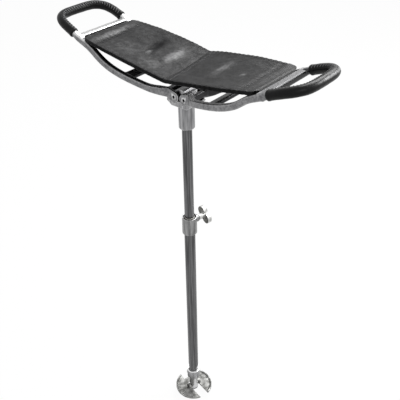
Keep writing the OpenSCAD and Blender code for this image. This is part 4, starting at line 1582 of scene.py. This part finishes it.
@dataclass
class Clamp:
    """The clamp collar and its screw with the winged knob."""

    azimuth: float = 77.0
    height: float = 490.5
    screw_r: float = 3.0
    screw_foot: float = 11.7
    screw_end: float = 39.0
    thread_pitch: float = 1.0
    wing_lean: float = 50.0

    def screw(self) -> bpy.types.Object:
        """The clamp screw, with rings for its thread where it shows."""
        profile: list[Point] = [(0, self.screw_foot - 0.9), (1.5, self.screw_foot - 0.9),
                                (1.5, self.screw_foot)]
        z = self.screw_foot
        while z < self.screw_end - self.thread_pitch:
            profile += [(self.screw_r - 0.45, z), (self.screw_r, z + self.thread_pitch * 0.4),
                        (self.screw_r, z + self.thread_pitch * 0.55)]
            z += self.thread_pitch
        profile += [(self.screw_r - 0.4, z), (self.screw_r - 0.4, self.screw_end),
                    (0, self.screw_end)]
        return turned("clamp_screw_threaded", profile, 32,
                      along_axis(self.azimuth, self.height))

    def knob(self) -> bpy.types.Object:
        """The winged knob, with painted shade on its wings' flat faces, from a darker copy of its finish."""
        knob = cast(copy_of_node("wing_knob", "wing_knob_casting"), 0.38, 6, 0.6)
        dress(knob, "clamp_knob", "knob_cast", BRIGHT_CASTING, ["wing_knob"])
        # Painted shade: the wings' flat faces get a darker copy of the knob's finish.
        knob.data.materials.append(SHADED_CASTING.material())
        axis = Vector((math.cos(math.radians(self.azimuth)),
                       math.sin(math.radians(self.azimuth)), 0))
        centre = axis * 39.1 * MM + Vector((0, 0, self.height * MM))
        for face in knob.data.polygons:
            from_centre = face.center - centre
            off_axis = (from_centre - axis * from_centre.dot(axis)).length
            if abs(face.normal.dot(axis)) > 0.9 and off_axis > 6.3 * MM:
                face.material_index = 1
        return knob

    def build(self) -> None:
        """Makes the clamp."""
        collar = cast(copy_of_node("clamp_collar", "clamp_collar_casting"), 0.42, 4, 0.5)
        dress(collar, "lower_shaft", "cast", COLLAR_CASTING, ["clamp_collar"])
        self.knob()
        dress(self.screw(), "clamp_knob", "steel", STEEL, ["clamp_screw"])


# Foot


@dataclass
class Foot:
    """The ferrule on the shaft's end, the ground disc on its pin and the point."""

    azimuth: float = 77.0
    rim_r: float = 15.4
    low_r: float = 14.6
    shank_r: float = 10.0
    top_h: float = 62.5
    low_h: float = 37.0
    tube_r: float = 11.12
    tube_foot: float = 42.3
    tang_r: float = 4.52
    tang_top: float = 22.2
    point_r: float = 9.5
    tip_r: float = 2.0
    tip_h: float = -14.5
    land_h: float = -4.1
    point_top: float = -0.6
    rivet_r: float = 2.0
    rivet_azimuth: float = 41.0
    pin_r: float = 2.5
    pin_h: float = 5.5
    pin_half: float = 16.0

    def ferrule(self) -> bpy.types.Object:
        """The ferrule, turned with its rim, its taper and its neck."""
        foot = self.point_top + 0.2
        corners = [(0, self.tang_top, 0), (self.tang_r, self.tang_top, 0), (self.tang_r, foot, 0.3),
                   (self.shank_r, foot, 0.5), (self.shank_r, self.low_h - 3, 1.6),
                   (self.low_r, self.low_h, 0.9), (self.rim_r - 0.5, self.top_h - 3.2, 0.3),
                   (self.rim_r, self.top_h - 2.6, 0.3), (self.rim_r, self.top_h, 0.7),
                   (self.tube_r, self.top_h - 0.2, 0.3), (self.tube_r, self.tube_foot, 0),
                   (0, self.tube_foot, 0)]
        return turned("foot_ferrule_turned", rounded(corners), 96)

    def point(self) -> bpy.types.Object:
        """The point, turned with a straight shoulder and a blunt end."""
        corners = [(0, self.tip_h, 0), (self.tip_r, self.tip_h, 0.8),
                   (self.point_r, self.land_h, 0.6), (self.point_r, self.point_top, 0.4),
                   (self.tang_r - 0.02, self.point_top, 0), (self.tang_r - 0.02, 22, 0.4),
                   (0, 22, 0)]
        return turned("spike_turned", rounded(corners), 64)

    def pin(self, name: str, r: float, half: float, place: Matrix) -> bpy.types.Object:
        """A headless pin or rivet with eased ends."""
        corners = [(0, -half, 0), (r, -half, 0.4), (r, half, 0.4), (0, half, 0)]
        return turned(name, rounded(corners), 32, place)

    def build(self) -> None:
        """Makes the foot."""
        ferrule = self.ferrule()
        # Painted highlight: a bright band at the rim and a fainter one on the neck.
        bands = ((self.top_h - 3, 99.0, 1.0), (-99.0, self.low_h - 2, 0.45))
        mark(ferrule, "polish", [sum(share for low, high, share in bands
                                     if low < v.co.z / MM < high)
                                 for v in ferrule.data.vertices])
        dress(ferrule, "lower_shaft", "cast", TURNED_CASTING, ["foot_ferrule"])
        disc = cast(copy_of_node("ground_disc", "ground_disc_casting"), 0.45, 4, 0.5)
        dress(disc, "ground_disc", "cast", DISC_CASTING, ["ground_disc"])
        dress(self.point(), "lower_shaft", "steel", STEEL, ["spike"])
        rivet = self.pin("ferrule_rivet_turned", self.rivet_r, self.rim_r - 0.15,
                         along_axis(self.rivet_azimuth, (self.top_h + 42.5) / 2))
        dress(rivet, "lower_shaft", "steel", STEEL, ["ferrule_rivet"])
        pin = self.pin("disc_pin_turned", self.pin_r, self.pin_half + 0.2,
                       along_axis(self.azimuth, self.pin_h))
        dress(pin, "lower_shaft", "steel", STEEL, ["disc_pin"])


# Stage


@dataclass
class Studio:
    """Camera, floor, world and lamps."""

    azimuth: float = 40.225
    pitch: float = 34.235
    roll: float = -0.873
    distance: float = 1049.2
    offset: float = 22.6
    height: float = 1254.07
    lens: float = 58.325
    shift: float = 0.00125
    floor_h: float = -14.6

    def camera(self) -> None:
        """Sets the camera at the photograph's place."""
        turn, fall, roll = (math.radians(a) for a in (self.azimuth, self.pitch, self.roll))
        back = Vector((math.sin(turn), -math.cos(turn), 0))
        right = Vector((math.cos(turn), math.sin(turn), 0))
        ahead = -back * math.cos(fall) - Vector((0, 0, math.sin(fall)))
        up = right.cross(ahead)
        leaned_right = right * math.cos(roll) + up * math.sin(roll)
        leaned_up = up * math.cos(roll) - right * math.sin(roll)
        data = bpy.data.cameras.new("camera")
        data.lens, data.sensor_width = self.lens, 36.0
        data.shift_x, data.shift_y = -self.shift, self.shift
        data.clip_start, data.clip_end = 0.05, 50
        obj = bpy.data.objects.new("camera", data)
        bpy.context.scene.collection.objects.link(obj)
        axes = Matrix((leaned_right, leaned_up, -ahead)).transposed().to_4x4()
        spot = back * self.distance + right * self.offset + Vector((0, 0, self.height))
        obj.matrix_world = Matrix.Translation(spot * MM) @ axes
        bpy.context.scene.camera = obj

    def seen_white(self, tree: bpy.types.NodeTree) -> bpy.types.NodeSocket:
        """1 for rays from the camera and in reflections, and 0 for the rest."""
        path = add(tree, "LightPath").outputs
        both = add(tree, "Math", {0: path["Is Camera Ray"], 1: path["Is Glossy Ray"]},
                   operation="MAXIMUM").outputs[0]
        return add(tree, "Math", {0: both, 1: path["Is Transmission Ray"]},
                   operation="MAXIMUM").outputs[0]

    def floor(self) -> None:
        """Lays a pale floor that keeps a soft shadow."""
        clear_selection()
        bpy.ops.mesh.primitive_plane_add(size=30, location=(0, 0, self.floor_h * MM))
        obj = named(bpy.context.active_object, "floor")
        made = bpy.data.materials.new("pale_floor")
        made.use_nodes = True
        tree = made.node_tree
        tree.nodes.clear()
        paint = add(tree, "BsdfDiffuse", {"Color": linear("#f4f4f4")})
        white = add(tree, "Emission", {"Color": (1, 1, 1, 1), "Strength": 1.0})
        share = add(tree, "Math", {0: self.seen_white(tree), 1: 0.95}, operation="MULTIPLY")
        mix = add(tree, "MixShader", {0: share.outputs[0], 1: paint.outputs[0],
                                      2: white.outputs[0]})
        out = add(tree, "OutputMaterial")
        tree.links.new(mix.outputs[0], out.inputs["Surface"])
        obj.data.materials.append(made)

    def world(self) -> None:
        """Lights the object softly from all round, in front of white."""
        world = bpy.data.worlds.new("studio")
        world.use_nodes = True
        tree = world.node_tree
        tree.nodes.clear()
        level = add(tree, "MapRange", {"Value": self.seen_white(tree), "To Min": 0.5,
                                       "To Max": 1.0})
        sky = add(tree, "Background", {"Color": (1, 1, 1, 1), "Strength": level.outputs[0]})
        out = add(tree, "OutputWorld")
        tree.links.new(sky.outputs[0], out.inputs["Surface"])
        bpy.context.scene.world = world

    def lamp(self, name: str, place: Vector, target: Vector, size: float,
             power: float) -> None:
        """Hangs a square lamp, in metres and watts, that faces a target."""
        data = bpy.data.lights.new(name, "AREA")
        data.size, data.energy = size, power
        obj = bpy.data.objects.new(name, data)
        bpy.context.scene.collection.objects.link(obj)
        turn = (target - place).to_track_quat("-Z", "Y").to_matrix().to_4x4()
        obj.matrix_world = Matrix.Translation(place) @ turn

    def build(self) -> None:
        """Sets the stage."""
        scene = bpy.context.scene
        scene.view_settings.view_transform = "Standard"
        self.camera()
        self.floor()
        self.world()
        middle = Vector((0, 0, 0.6))
        self.lamp("back_softbox", Vector((-0.3, 1.6, 2.3)), middle, 1.1, 46)
        self.lamp("side_softbox", Vector((1.1, 1.7, 1.75)), middle, 0.8, 30)
        self.lamp("front_softbox", Vector((1.3, -0.7, 1.7)), middle, 0.8, 5)


@dataclass
class SmallParts:
    """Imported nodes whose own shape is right, with a finish on each."""

    finishes: dict[str, Finish] = field(default_factory=lambda: {
        "tube_guide_plug": NYLON, "pressure_shoe": NYLON, "socket_screw": DARK_STEEL,
        "collar_screw": DARK_STEEL, "knob_pin": STEEL})

    def build(self) -> None:
        """Gives each node its finish."""
        for node, finish in self.finishes.items():
            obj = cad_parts[node]
            obj.data.materials.clear()
            obj.data.materials.append(finish.material())
            LOG.info("%s: packed shape, finish %s", node, finish.name)


def main() -> None:
    """Builds the parts in order."""
    logging.basicConfig(level=logging.INFO, format="%(name)s %(message)s")
    for part in (Studio(), FrameCastings(), HandGrips(), LeatherSling(), Hub(), Shaft(),
                 Clamp(), Foot(), SmallParts()):
        part.build()


if __name__ == "__main__":
    main()
